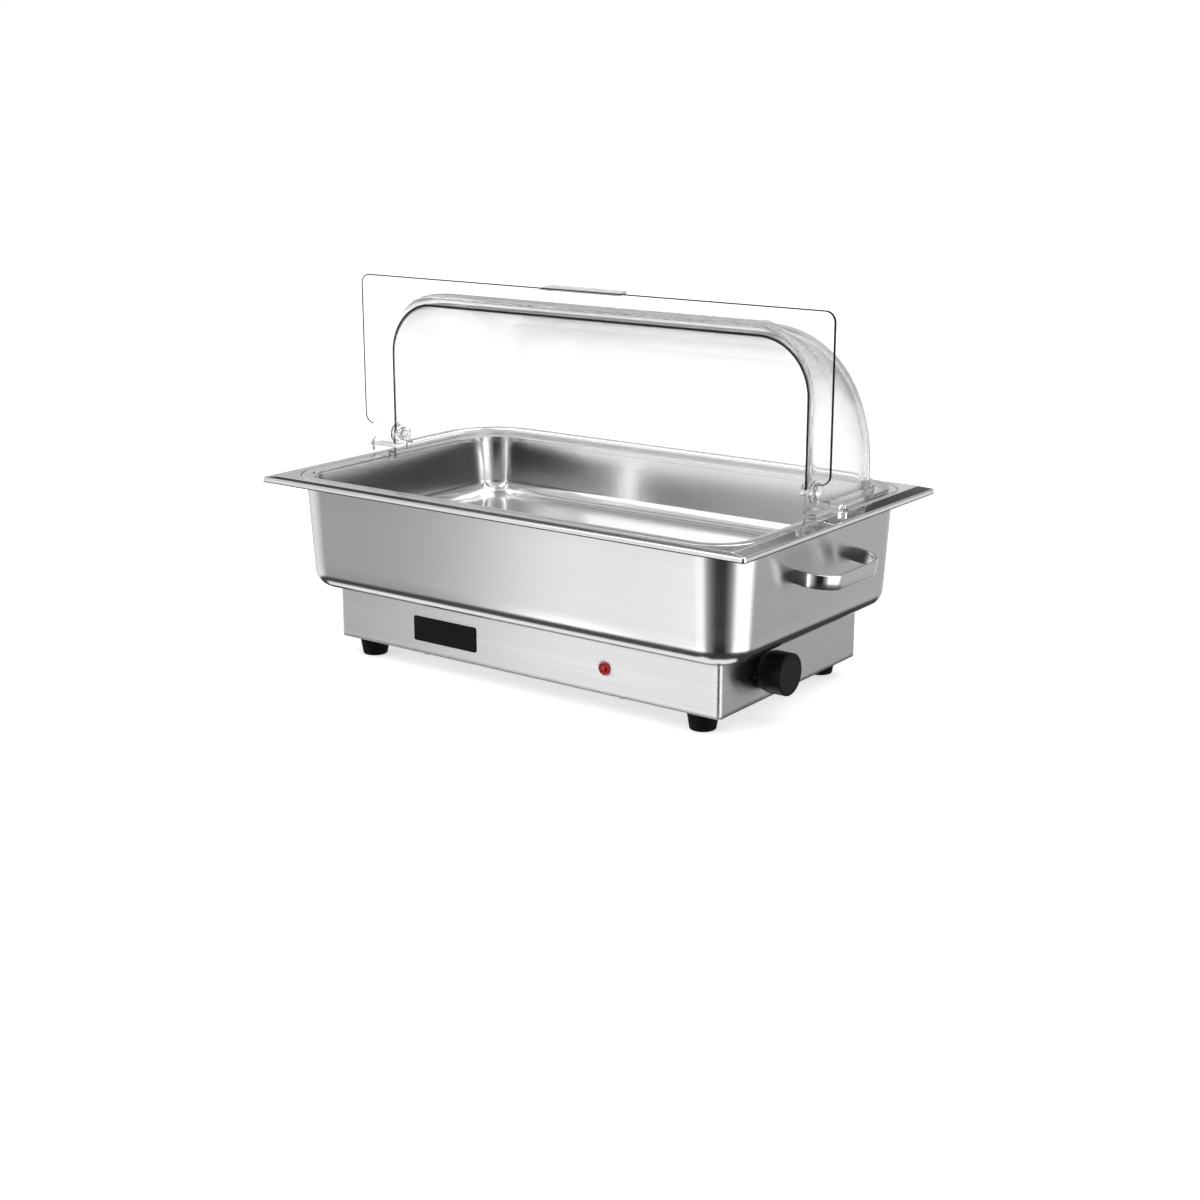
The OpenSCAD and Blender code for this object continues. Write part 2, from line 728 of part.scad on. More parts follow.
// Sensor bulb under the water pan and the capillary that leads to the thermostat
module sensor_tube() {
    run = bulb_y - knob_y - capillary_bend;
    color(brass) translate([bulb_x, 0, bulb_z]) {
        translate([0, bulb_y, 0]) rotate([-90, 0, 0]) cylinder(d = bulb_d, h = bulb_l);
        translate([0, bulb_y, 0]) rotate([90, 0, 0]) cylinder(d = capillary_d, h = run);
        translate([0, knob_y + capillary_bend, -capillary_bend]) rotate([0, -90, 0]) rotate([0, 0, -90])
            rotate_extrude(angle = 90) translate([capillary_bend, 0]) circle(d = capillary_d);
        translate([0, knob_y, stat_top - bulb_z]) cylinder(d = capillary_d, h = bulb_z - capillary_bend - stat_top);
    }
}

// Saddle clips round the bulb, spot-welded to the water pan
module sensor_clips() {
    inside = bulb_d / 2 + face_gap;
    outside = inside + clip_t;
    drop = tub_z - bulb_z;
    color(zinc) for (y = [0.2, 0.8]) translate([bulb_x, bulb_y + y * bulb_l, bulb_z]) rotate([90, 0, 0])
        linear_extrude(clip_w, center = true) {
            intersection() {
                bent(outside, clip_t, 180, 270);
                translate([-outside, -outside]) square(2 * outside);
            }
            bent(outside, clip_t, 270, 360);
            for (s = [-1, 1]) {
                translate([s * (inside + clip_t / 2), drop / 2]) square([clip_t, drop], center = true);
                translate([s * (inside + clip_foot / 2), drop - clip_t / 2]) square([clip_foot, clip_t], center = true);
            }
        }
}

// Snap-disc cut-out on a strap against the water pan's underside
module thermal_cutout() {
    blade = [0.8, 6, 7];
    color(black) {
        difference() {
            translate([cutout_x, cutout_y, tub_z - cutout_plate[2] / 2]) cube(cutout_plate, center = true);
            at_cutout_studs() translate([0, 0, tub_z - cutout_plate[2] - 1])
                cylinder(d = cutout_stud_d + 2 * screw_play, h = cutout_plate[2] + 2);
        }
        translate([cutout_x, cutout_y, tub_z - cutout_h]) cylinder(d = cutout_d, h = cutout_h);
        for (x = [-1, 1]) translate([cutout_x + x * cutout_d / 4, cutout_y, tub_z - cutout_h - blade[2] / 2])
            cube(blade, center = true);
    }
}

module cutout_nuts() {
    color(zinc) at_cutout_studs() translate([0, 0, tub_z - cutout_plate[2] - cutout_nut_h])
        nut(cutout_stud_d, cutout_nut_across, cutout_nut_h);
}

// Ceramic terminal block with three ways
module terminal_block() {
    way_d = 5;
    color(ceramic) difference() {
        translate([block_x - block_size[0] / 2, block_y - block_size[1] / 2, block_z]) cube(block_size);
        for (i = [-1 : 1]) translate([block_x + i * block_pitch, block_y, block_z]) {
            translate([0, block_size[1], block_size[2] / 2]) rotate([90, 0, 0]) cylinder(d = way_d, h = 2 * block_size[1]);
            translate([0, 0, block_size[2] / 2]) cylinder(d = screw_d + 2 * nut_play, h = block_size[2]);
        }
    }
}

module terminal_screws() {
    clamp_l = block_size[2] / 2 - 1;
    color(brass) for (i = [-1 : 1])
        translate([block_x + i * block_pitch, block_y, block_z + block_size[2]]) rotate([180, 0, 0])
            screw(screw_d, clamp_l, screw_head_d, 1.6);
}

// Round wire along a list of points
module wire(points) {
    for (i = [0 : len(points) - 2]) {
        step = points[i + 1] - points[i];
        length = norm(step);
        translate(points[i]) rotate([0, acos(step[2] / length), atan2(step[1], step[0])])
            cylinder(d = wire_d, h = length);
        if (i > 0) translate(points[i]) sphere(d = wire_d + 2 * wire_knee);
    }
}

// Leads from the gland to the block, and from the block to the controls
module lead_wires() {
    way_z = block_z + block_size[2] / 2;
    block_back = block_y + 3;
    block_front = block_y - 3;
    gland_in = inner_side - gland_nut_h - 3.5;
    low_z = fold_z + 6;
    stat_low = knob_z - stat_size[2] / 2;
    tail_x = heater_x + element_run / 2 + element_tail;
    lamp_back = lamp_depth - inner_side + 0.6;
    color(red) {
        for (i = [-1 : 1]) wire([[block_x + i * wire_d * 1.2, gland_in, gland_z],
            [block_x + i * block_pitch, block_back + 14, way_z], [block_x + i * block_pitch, block_back, way_z]]);
        wire([[block_x + block_pitch, block_front, way_z], [block_x + block_pitch, block_front - 20, low_z],
            [stat_x + 4, knob_y + 6, low_z], [stat_x + 4, knob_y + 6, stat_low - face_gap]]);
        wire([[stat_x - 6, knob_y, stat_low - face_gap], [stat_x - 6, knob_y, low_z + 5],
            [tail_x + 5, -1.5 * element_pitch, low_z + 5], [tail_x + 5, -1.5 * element_pitch, element_z],
            [tail_x + face_gap, -1.5 * element_pitch, element_z]]);
        wire([[block_x - block_pitch, block_front, way_z], [block_x - block_pitch, block_front - 14, way_z],
            [tail_x + 5, 1.5 * element_pitch, way_z], [tail_x + 5, 1.5 * element_pitch, element_z],
            [tail_x + face_gap, 1.5 * element_pitch, element_z]]);
        wire([[block_x, block_front, way_z], [block_x, block_front - 30, low_z + 3],
            [lamp_x, lamp_back + 12, low_z + 3], [lamp_x, lamp_back + 6, lamp_z], [lamp_x, lamp_back, lamp_z]]);
    }
}

// Lamp body: bezel on the front wall and a barrel through it
module lamp_bezel() {
    lens_bore = lamp_lens_d / 2 + 0.1;
    r = lamp_d / 2;
    color(red) translate([lamp_x, -housing_w / 2, lamp_z]) rotate([90, 0, 0]) rotate_extrude() polygon([
        [0, housing_t - lamp_depth], [lamp_barrel_d / 2, housing_t - lamp_depth], [lamp_barrel_d / 2, 0], [r, 0],
        [r, lamp_rim / 2], [r - lamp_rim / 2, lamp_rim], [lens_bore, lamp_rim], [lens_bore, -lamp_seat],
        [0, -lamp_seat]]);
}

// Domed lens in the bezel
module lamp_lens() {
    r = lamp_lens_d / 2;
    rise = lamp_dome;
    ball = (r * r + rise * rise) / (2 * rise);
    color(red) translate([lamp_x, -housing_w / 2, lamp_z]) rotate([90, 0, 0]) {
        translate([0, 0, -lamp_seat]) cylinder(r = r, h = lamp_seat + lamp_rim / 2);
        intersection() {
            translate([0, 0, lamp_rim / 2 + rise - ball]) sphere(ball);
            translate([0, 0, lamp_rim / 2]) cylinder(r = r, h = 2 * rise);
        }
    }
}

module lamp_nut() {
    color(zinc) translate([lamp_x, -inner_side, lamp_z]) rotate([-90, 0, 0])
        nut(lamp_barrel_d, lamp_nut_across, lamp_nut_h);
}

// Bare plate on the front wall
module front_plate() {
    color(black) translate([plate_x, -housing_w / 2, foot_h + plate_up]) rotate([90, 0, 0])
        linear_extrude(plate_t) rounded_rect(plate_w, plate_h, plate_corner);
}

// Hollow gland on the rear wall
module cord_gland() {
    color(black) translate([block_x, housing_w / 2, gland_z]) rotate([-90, 0, 0]) difference() {
        union() {
            cylinder(d = gland_across / cos(30), h = gland_flange, $fn = 6);
            translate([0, 0, gland_flange]) cylinder(d1 = gland_dome_d, d2 = gland_dome_d - 5, h = gland_dome_l);
            translate([0, 0, -gland_thread_l]) cylinder(d = gland_thread_d, h = gland_thread_l);
        }
        translate([0, 0, -gland_thread_l - 1]) cylinder(d = gland_bore_d, h = gland_thread_l + gland_flange + gland_dome_l + 2);
    }
}

module gland_nut() {
    color(black) translate([block_x, inner_side, gland_z]) rotate([90, 0, 0])
        nut(gland_thread_d, gland_across, gland_nut_h);
}

// Food pan: drawn basin, flat rim and a turned-down edge that lies on the ledge
module food_pan() {
    out = pan_lean + pan_rim;
    round_r = 1.5;
    c = [out - round_r, pan_depth - round_r];
    edge = concat(arc(c, round_r - pan_t, 90, 0, 3), [[out - pan_t, pan_depth - rim_step], [out, pan_depth - rim_step]],
        arc(c, round_r, 0, 90, 3));
    color(steel) translate([0, 0, rim_z - pan_depth])
        basin(pan_base_l, pan_base_w, pan_base_corner, pan_depth, pan_lean, pan_fillet, pan_t, pan_bend, edge);
}

// Outline of a dome across the dish: half width w, height r and shoulder radius c
module arch_fill(w, r, c) {
    translate([0, c - w]) square([r, 2 * (w - c)]);
    translate([0, -w]) square([r - c, 2 * w]);
    for (s = [-1, 1]) translate([r - c, s * (w - c)]) circle(c);
}

// Quarter dome turned about the hinge axis, from upright to level at the back
module quarter_dome(w, r, c) {
    rotate([0, -90, 0]) rotate_extrude(angle = 90) intersection() {
        difference() {
            arch_fill(w, r, c);
            arch_fill(w - cover_t, r - cover_t, c - cover_t);
        }
        translate([0, -w]) square([r, 2 * w]);
    }
}

// Sweeps a section over an upright arch: x points out of the dome, y points to the front
module arch_sweep(w, r, c, foot) {
    for (side = [0, 1]) mirror([side, 0, 0]) {
        translate([w, 0, foot]) linear_extrude(r - c - foot) mirror([0, 1]) children();
        translate([w - c, 0, r - c]) rotate([90, 0, 0]) rotate_extrude(angle = 90) translate([c, 0]) children();
    }
    translate([0, 0, r]) rotate([180, -90, 0]) linear_extrude(2 * (w - c), center = true) children();
}

// The same sweep lying down: the arch runs to the back and y of the section points down
module base_sweep(w, r, c, foot) {
    mirror([0, 1, -1]) arch_sweep(w, r, c, foot) children();
}

module at_hinge() {
    translate([0, hinge_y, hinge_z]) children();
}

// Pieces on both ends of the hinge axis
module on_axis(x) {
    for (side = [0, 1]) mirror([side, 0, 0]) translate([x, 0, 0]) rotate([0, 90, 0]) children();
}

// Moving quarter dome with its mouth flange, grip lip and hinge ears
module front_cover() {
    skirt = flange_front - cover_t - flange_bend;
    bend_o = flange_bend + cover_t;
    color(clear) at_hinge() difference() {
        union() {
            quarter_dome(front_half, front_r, dome_corner);
            arch_sweep(front_half, front_r, dome_corner, arm_foot) {
                translate([-cover_t, 0]) square([cover_t, skirt]);
                translate([flange_bend, skirt]) bent(bend_o, cover_t, 90, 180);
            }
            base_sweep(front_half, front_r, dome_corner, ear_r - 2)
                translate([-cover_t, 0]) square([cover_t, trail]);
            translate([0, cover_t - flange_front, 0]) rotate([90, 0, 0]) linear_extrude(cover_t) front_flange();
            grip_lip();
            on_axis(front_half - cover_t) cylinder(r = ear_r, h = cover_t);
        }
        on_axis(front_half - cover_t - 1) cylinder(r = pin_d / 2 + pin_play, h = cover_t + 2);
    }
}

// Flat flange round the mouth, open below
module front_flange() {
    c = dome_corner + flange_bend;
    half = front_half + flange_bend;
    top = front_r + flange_bend;
    difference() {
        union() {
            translate([-flange_half, arm_foot + flange_corner]) square([2 * flange_half, flange_reach - arm_foot - 2 * flange_corner]);
            translate([flange_corner - flange_half, arm_foot]) square([2 * (flange_half - flange_corner), flange_reach - arm_foot]);
            for (s = [-1, 1], y = [arm_foot + flange_corner, flange_reach - flange_corner])
                translate([s * (flange_half - flange_corner), y]) circle(flange_corner);
        }
        rotate(90) arch_fill(half, top, c);
    }
}

// Lip along the middle of the flange's edge, turned back to be lifted by the fingers
module grip_lip() {
    lean = 5;
    corner = 6;
    translate([0, cover_t - flange_front, flange_reach - cover_t]) rotate([lean, 0, 0]) linear_extrude(cover_t) {
        translate([-grip_w / 2, -cover_t / 2]) square([grip_w, grip_l - corner]);
        translate([0, grip_l / 2 - cover_t / 2]) rounded_rect(grip_w, grip_l, corner);
    }
}

// Fixed quarter dome with its front lip, skirt, stepped rail and base
module rear_cover() {
    color(clear) at_hinge() difference() {
        union() {
            quarter_dome(rear_half, rear_r, rear_corner);
            arch_sweep(rear_half, rear_r, rear_corner, 0) {
                translate([-cover_t, 0]) square([cover_t, rear_lip]);
                translate([-cover_t / 2, rear_lip]) circle(edge_bead);
            }
            base_sweep(rear_half, rear_r, rear_corner, -skirt_front)
                translate([-cover_t, 0]) square([cover_t, base_f + locate]);
            base_sweep(rear_half, rear_r, rear_corner, rail_start) {
                translate([-cover_t, shelf_f]) square([rail_w + cover_t, cover_t]);
                translate([rail_w - cover_t, shelf_f]) square([cover_t, base_f - shelf_f]);
            }
            translate([0, 0, -base_f]) linear_extrude(cover_t) rear_base();
            for (side = [0, 1]) mirror([side, 0, 0]) {
                translate([rear_half - cover_t, -tongue_front, -tongue_f - cover_t])
                    cube([tongue_end - rear_half + cover_t, tongue_w, cover_t]);
                finger_tab();
            }
            on_axis(rear_half - cover_t) cylinder(r = ear_r, h = cover_t);
        }
        on_axis(rear_half - cover_t - 1) cylinder(r = pin_d / 2 + pin_play, h = cover_t + 2);
    }
}

// Flat base on the food pan's rim
module rear_base() {
    difference() {
        union() {
            translate([0, base_rear / 2]) rounded_rect(2 * base_half, base_rear, base_corner);
            translate([-base_half, -base_front]) square([2 * base_half, base_rear + base_front - base_corner]);
        }
        rotate(90) arch_fill(rear_half - cover_t, rear_r - cover_t, rear_corner - cover_t);
        translate([-rear_half + cover_t, -2 * base_front]) square([2 * (rear_half - cover_t), 3 * base_front]);
    }
}

// Upright tab at the end of a tongue, for lifting the cover off
module finger_tab() {
    round_r = tab_w / 2;
    translate([tongue_end - tab_t / 2, tongue_w / 2 - tongue_front, -base_f]) rotate([90, 0, 90])
        linear_extrude(tab_t, center = true) {
            translate([-round_r, 0]) square([tab_w, tab_h - round_r]);
            translate([0, tab_h - round_r]) circle(round_r);
        }
}

// Headed pin through both ears
module pivot_pin(side) {
    inner = rear_half - cover_t - cap_l + cap_wall + 0.2;
    outer = front_half + pin_head_gap;
    color(clear) at_hinge() mirror([side, 0, 0]) translate([inner, 0, 0]) rotate([0, 90, 0]) rotate_extrude() polygon([
        [0, 0], [pin_d / 2, 0], [pin_d / 2, outer - inner], [pin_head_d / 2, outer - inner],
        [pin_head_d / 2, outer - inner + pin_head_h / 2], [pin_head_d / 2 - 2, outer - inner + pin_head_h],
        [0, outer - inner + pin_head_h]]);
}

module right_pivot_pin() { pivot_pin(0); }
module left_pivot_pin() { pivot_pin(1); }

// Cap pressed on the inner end of a pin
module pivot_cap(side) {
    start = rear_half - cover_t - cap_l;
    color(clear) at_hinge() mirror([side, 0, 0]) translate([start, 0, 0]) rotate([0, 90, 0]) difference() {
        cylinder(d = cap_d, h = cap_l - face_gap);
        translate([0, 0, cap_wall]) cylinder(d = pin_d + 2 * nut_play, h = cap_l);
    }
}

module right_pivot_cap() { pivot_cap(0); }
module left_pivot_cap() { pivot_cap(1); }

base_housing();
bottom_cover();
bottom_cover_screws();
foot_front_left();
foot_front_right();
foot_rear_left();
foot_rear_right();
foot_screws();
foot_nuts();
water_pan();
housing_nuts();
left_handle();
right_handle();
heat_spreader();
heating_element();
front_clamp_bar();
rear_clamp_bar();
clamp_nuts();
heat_shield();
shield_nuts();
thermostat_body();
thermostat_screws();
thermostat_shaft();
control_knob();
sensor_tube();
sensor_clips();
thermal_cutout();
cutout_nuts();
terminal_block();
terminal_screws();
lead_wires();
lamp_bezel();
lamp_lens();
lamp_nut();
front_plate();
cord_gland();
gland_nut();
food_pan();
rear_cover();
left_pivot_pin();
right_pivot_pin();
left_pivot_cap();
right_pivot_cap();
front_cover();
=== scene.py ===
# %% [markdown]
# # An electric chafing dish, dressed for the studio
# The solids of this dish come from its CAD source: a drawn water pan on a folded base, a loose food
# pan, and two clear quarter domes that roll over each other. This lesson puts the finish on them.
# Flat and folded pieces and both covers keep their CAD mesh and get a material. Drawn, bent and turned
# pieces get a new skin, because such pieces are read by the smooth light along their bends.

# %% Load the solids
import json
import math

import bpy
from mathutils import Matrix, Vector


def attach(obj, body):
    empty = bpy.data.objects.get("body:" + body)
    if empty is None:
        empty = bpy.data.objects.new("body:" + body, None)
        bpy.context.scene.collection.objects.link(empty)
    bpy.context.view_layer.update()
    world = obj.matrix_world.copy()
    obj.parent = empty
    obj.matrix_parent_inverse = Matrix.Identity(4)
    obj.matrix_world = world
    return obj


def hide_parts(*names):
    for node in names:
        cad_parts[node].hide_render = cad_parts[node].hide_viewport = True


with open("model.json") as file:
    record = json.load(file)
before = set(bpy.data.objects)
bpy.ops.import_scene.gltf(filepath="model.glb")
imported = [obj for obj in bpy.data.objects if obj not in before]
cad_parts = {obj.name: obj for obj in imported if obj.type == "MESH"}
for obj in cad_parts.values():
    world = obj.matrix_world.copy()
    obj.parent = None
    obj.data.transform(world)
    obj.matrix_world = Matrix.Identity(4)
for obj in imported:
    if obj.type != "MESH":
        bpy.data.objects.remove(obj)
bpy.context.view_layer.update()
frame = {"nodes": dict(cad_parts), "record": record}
nodes = frame["nodes"]
print("CAD nodes:", len(nodes))

# %% [markdown]
# ## Camera
# The view is from the right front, a little above the rim. A lens of about 58 mm on a 36 mm sensor
# gives the mild perspective of a product shot. The camera is placed by an azimuth, an elevation and a
# distance from a target, so the same numbers can be read as a tripod setting.

# %% Place the camera
AZIMUTH = math.radians(36.26)
ELEVATION = math.radians(15.31)
DISTANCE = 1.7637
TARGET = Vector((0.09033, -0.11272, 0.10403))
SENSOR_MM, LENS_MM = 36.0, 57.53
NEAREST = 0.05

back = Vector((
    math.sin(AZIMUTH) * math.cos(ELEVATION),
    -math.cos(AZIMUTH) * math.cos(ELEVATION),
    math.sin(ELEVATION),
))
camera_data = bpy.data.cameras.new("camera")
camera_data.sensor_width = SENSOR_MM
camera_data.lens = LENS_MM
camera_data.clip_start = NEAREST
camera = bpy.data.objects.new("camera", camera_data)
camera.location = TARGET + back * DISTANCE
camera.rotation_euler = (-back).to_track_quat("-Z", "Y").to_euler()
bpy.context.scene.collection.objects.link(camera)
bpy.context.scene.camera = camera
print("camera at", [round(v, 3) for v in camera.location])

# %% [markdown]
# ## Small helpers for node trees
# Every finish here is a Principled shader with a few procedural nodes in front of it. The nodes could
# be placed and linked by hand in the shader editor. Written as helpers they take a line each, so that
# every finish below reads as a short recipe.

# %% Node helpers
COLOUR_A, COLOUR_B, COLOUR_RESULT = 6, 7, 2


def finish_of(name):
    """A new material with its tree and its Principled shader."""
    material = bpy.data.materials.new(name)
    material.use_nodes = True
    tree = material.node_tree
    return material, tree, tree.nodes["Principled BSDF"]


def feed(tree, node, inputs):
    """Links a node's sockets to other sockets, or sets them to plain values."""
    for name, source in inputs.items():
        if isinstance(source, bpy.types.NodeSocket):
            tree.links.new(source, node.inputs[name])
        else:
            node.inputs[name].default_value = source


def add(tree, kind, inputs, **properties):
    """A new node with its properties set and its sockets fed."""
    node = tree.nodes.new(kind)
    for name, value in properties.items():
        setattr(node, name, value)
    feed(tree, node, inputs)
    return node


def maths(tree, operation, *terms, use_clamp=False):
    """The result of a Math node on sockets or plain numbers."""
    terms = dict(enumerate(terms))
    node = add(tree, "ShaderNodeMath", terms, operation=operation, use_clamp=use_clamp)
    return node.outputs["Value"]


def blend(tree, share, first, second):
    """A colour on the way from the first to the second, on the Mix node's own sockets for colours."""
    inputs = {"Factor": share, COLOUR_A: first, COLOUR_B: second}
    return add(tree, "ShaderNodeMix", inputs, data_type="RGBA").outputs[COLOUR_RESULT]


def ramp(tree, source, stops):
    """The colour of a ramp at source; stops are (position, grey or colour)."""
    node = add(tree, "ShaderNodeValToRGB", {"Fac": source})
    band = node.color_ramp
    while len(band.elements) < len(stops):
        band.elements.new(0.5)
    for element, (place, tone) in zip(band.elements, stops):
        element.position = place
        colour = tone if isinstance(tone, tuple) else (tone, tone, tone)
        element.color = (*colour, 1.0)
    return node.outputs["Color"]


print("node helpers ready")

# %% [markdown]
# ## Grain
# Metal and plastic are never quite even: brushing, pebble and bloom break up the light. Noise in object
# space needs no unwrapped texture, and a scale for each axis stretches it into scratches. The same noise
# then drives colour, roughness and a very shallow bump.

# %% Texture helpers
BEVEL_SAMPLES = 8


def stretched_noise(tree, scale, detail, offset=0.0):
    """Noise in object space, stretched by a scale for each axis."""
    place = add(tree, "ShaderNodeTexCoord", {})
    stretch = add(tree, "ShaderNodeMapping", {
        "Vector": place.outputs["Object"],
        "Scale": scale,
        "Location": (offset, offset, offset),
    })
    noise = add(tree, "ShaderNodeTexNoise", {
        "Vector": stretch.outputs["Vector"],
        "Scale": 1.0,
        "Detail": detail,
    })
    return noise.outputs["Fac"]


def bump(tree, height, depth, strength, round_edges=0.0):
    """A normal that follows a height, over edges that may be rounded by a radius."""
    inputs = {"Height": height, "Distance": depth, "Strength": strength}
    if round_edges:
        soft = add(tree, "ShaderNodeBevel", {"Radius": round_edges}, samples=BEVEL_SAMPLES)
        inputs["Normal"] = soft.outputs["Normal"]
    return add(tree, "ShaderNodeBump", inputs).outputs["Normal"]


def shaded(tone, share):
    """A colour made darker or lighter by a share."""
    return tuple(min(1.0, share * c) for c in tone)


print("texture helpers ready")

# %% [markdown]
# ## Stainless steel
# The sides are brushed along their length: thousands of fine level scratches. They smear each
# reflection up and down but leave it sharp along the brushing, which is why a brushed corner shows
# upright bright and dark bars. The shader's anisotropy does that, with a tangent that runs round the
# dish and is turned by a quarter, because the smear lies across the scratches. Noise stretched along X
# and Y and fine in Z draws the scratches themselves. The brushing stops at the bends: the bottom bend
# and the rim of the water pan are buffed smooth, so its roughness follows the height.

# %% Steel recipe
FINE_DETAIL, BROAD_DETAIL = 4.0, 2.0
BROAD_SHARE, BROAD_OFFSET = 0.12, 3.1
DARKER, LIGHTER, ROUGHER, DEEPER = 0.5, 0.25, 0.35, 0.5
QUARTER_TURN = 0.25
SCRATCH_DEPTH = 0.00002


def steel(name, tone, roughness, streak, anisotropy, grain, buffed=None, round_edges=0.0):
    """Stainless steel; streak is how much the brushing shows, buffed the roughness left by height."""
    material, tree, shader = finish_of(name)
    fine = stretched_noise(tree, grain, FINE_DETAIL)
    broad_grain = tuple(BROAD_SHARE * g for g in grain)
    broad = stretched_noise(tree, broad_grain, BROAD_DETAIL, BROAD_OFFSET)
    dark = shaded(tone, 1.0 - DARKER * streak)
    light = shaded(tone, 1.0 + LIGHTER * streak)
    spread = ROUGHER * streak
    satin = ramp(tree, broad, [(0.3, roughness * (1.0 - spread)), (0.7, roughness * (1.0 + spread))])
    if buffed:
        place = add(tree, "ShaderNodeTexCoord", {})
        axes = add(tree, "ShaderNodeSeparateXYZ", {"Vector": place.outputs["Object"]})
        satin = maths(tree, "MULTIPLY", satin, ramp(tree, axes.outputs["Z"], buffed))
    round_dish = add(tree, "ShaderNodeTangent", {}, direction_type="RADIAL", axis="Z")
    feed(tree, shader, {
        "Metallic": 1.0,
        "Base Color": ramp(tree, fine, [(0.3, dark), (0.7, light)]),
        "Roughness": satin,
        "Anisotropic": anisotropy,
        "Anisotropic Rotation": QUARTER_TURN,
        "Tangent": round_dish.outputs["Tangent"],
        "Normal": bump(tree, fine, SCRATCH_DEPTH, DEEPER * streak, round_edges),
    })
    return material


print("steel recipe ready")

# %% Satin, brushed and polished steel
PAN_TONE, BASE_TONE, BRIGHT_TONE = (0.78, 0.78, 0.79), (0.68, 0.68, 0.69), (0.82, 0.82, 0.83)
BRUSHED_GRAIN, POLISHED_GRAIN = (7.0, 7.0, 1400.0), (9.0, 9.0, 260.0)
BUFFED = [(0.07, 0.5), (0.088, 0.55), (0.098, 1.0), (0.1765, 1.0), (0.1785, 0.33)]
FOLD_RADIUS = 0.005

pan_steel = steel(
    "satin_steel", PAN_TONE, roughness=0.28, streak=0.1, anisotropy=0.9,
    grain=BRUSHED_GRAIN, buffed=BUFFED,
)
base_steel = steel(
    "brushed_steel", BASE_TONE, roughness=0.28, streak=0.16, anisotropy=0.9,
    grain=BRUSHED_GRAIN, round_edges=FOLD_RADIUS,
)
bright_steel = steel(
    "polished_steel", BRIGHT_TONE, roughness=0.15, streak=0.05, anisotropy=0.4,
    grain=POLISHED_GRAIN,
)
print("steel finishes:", pan_steel.name, base_steel.name, bright_steel.name)

# %% [markdown]
# ## Moulded plastics and rubber
# The knob and the gland are satin black mouldings with a fine pebble, the front plate is duller, and
# rubber is the roughest. One recipe makes them all: fine noise for the pebble, and broad noise for the
# faint clouds that every moulding has. The blacks mirror little, so that they stay black in a bright room.

# %% Mouldings
CLOUDS, CLOUD_OFFSET = (40.0, 40.0, 40.0), 1.7
PEBBLE_STRENGTH = 0.6
PLAIN_GLOSS, BLACK_GLOSS = 0.5, 0.12


def moulded(name, tone, roughness, pebble_depth, pebble_size, gloss=PLAIN_GLOSS):
    """Opaque moulding with a fine pebbled skin; sizes in metres."""
    material, tree, shader = finish_of(name)
    size = 1.0 / pebble_size
    pebble = stretched_noise(tree, (size, size, size), BROAD_DETAIL)
    cloud = stretched_noise(tree, CLOUDS, BROAD_DETAIL, CLOUD_OFFSET)
    feed(tree, shader, {
        "Base Color": ramp(tree, cloud, [(0.35, shaded(tone, 0.85)), (0.65, shaded(tone, 1.15))]),
        "Roughness": ramp(tree, pebble, [(0.3, 0.9 * roughness), (0.7, 1.1 * roughness)]),
        "Specular IOR Level": gloss,
        "Normal": bump(tree, pebble, pebble_depth, PEBBLE_STRENGTH),
    })
    return material


black_plastic = moulded("black_plastic", (0.005, 0.005, 0.0055), 0.36, 0.00002, 0.0006, BLACK_GLOSS)
black_plate = moulded("black_plate", (0.004, 0.004, 0.0045), 0.55, 0.00001, 0.0004, BLACK_GLOSS)
black_rubber = moulded("black_rubber", (0.004, 0.004, 0.004), 0.62, 0.00004, 0.0008, BLACK_GLOSS)
red_plastic = moulded("red_plastic", (0.5, 0.012, 0.01), 0.3, 0.00001, 0.0008)
red_lens = moulded("red_lens", (0.36, 0.006, 0.006), 0.12, 0.00001, 0.002)
ceramic = moulded("ceramic", (0.8, 0.77, 0.7), 0.6, 0.00003, 0.001)
wire_jacket = moulded("wire_jacket", (0.45, 0.06, 0.04), 0.5, 0.00001, 0.001)
print("mouldings made")

# %% [markdown]
# ## Clear plastic
# The covers are clear polycarbonate. Seen flat on, the sheet has almost no colour. Seen along its skin,
# light has a long way to go through the plastic, and the sheet darkens to a line. Absorption inside the
# wall could do that, but so thin a wall would need a very strong one, which dirties the flat parts too.
# Here the tint of one transmitting shader follows the angle of view, which Layer Weight gives. Alpha a
# little below one lets some light straight in, and faint noise in the roughness is the haze of use.

# %% Clear sheet
FLAT_ON, SLANTED, GRAZING = (0.995, 0.998, 1.0), (0.8, 0.805, 0.81), (0.05, 0.052, 0.054)
HAZE_GRAIN = (30.0, 30.0, 30.0)

clear_plastic, tree, shader = finish_of("clear_plastic")
angle = add(tree, "ShaderNodeLayerWeight", {"Blend": 0.5})
tint = [(0.0, FLAT_ON), (0.5, FLAT_ON), (0.75, SLANTED), (0.94, GRAZING)]
haze = stretched_noise(tree, HAZE_GRAIN, BROAD_DETAIL)
feed(tree, shader, {
    "Base Color": ramp(tree, angle.outputs["Facing"], tint),
    "Roughness": ramp(tree, haze, [(0.4, 0.0), (0.8, 0.03)]),
    "Transmission Weight": 1.0,
    "IOR": 1.45,
    "Specular Tint": (0.2, 0.2, 0.2, 1.0),
    "Alpha": 0.9,
})
print("clear finish:", clear_plastic.name)

# %% [markdown]
# ## Plated and plain metals inside
# Nobody sees the heater until the bottom cover comes off, but each piece still has its own metal: zinc
# plating with its cloudy bloom, plain aluminium plate, brass, and an oxidised heater tube.

# %% Zinc, aluminium, brass and the heater's sheath
BLOOM_DEPTH, BLOOM_STRENGTH = 0.00003, 0.3


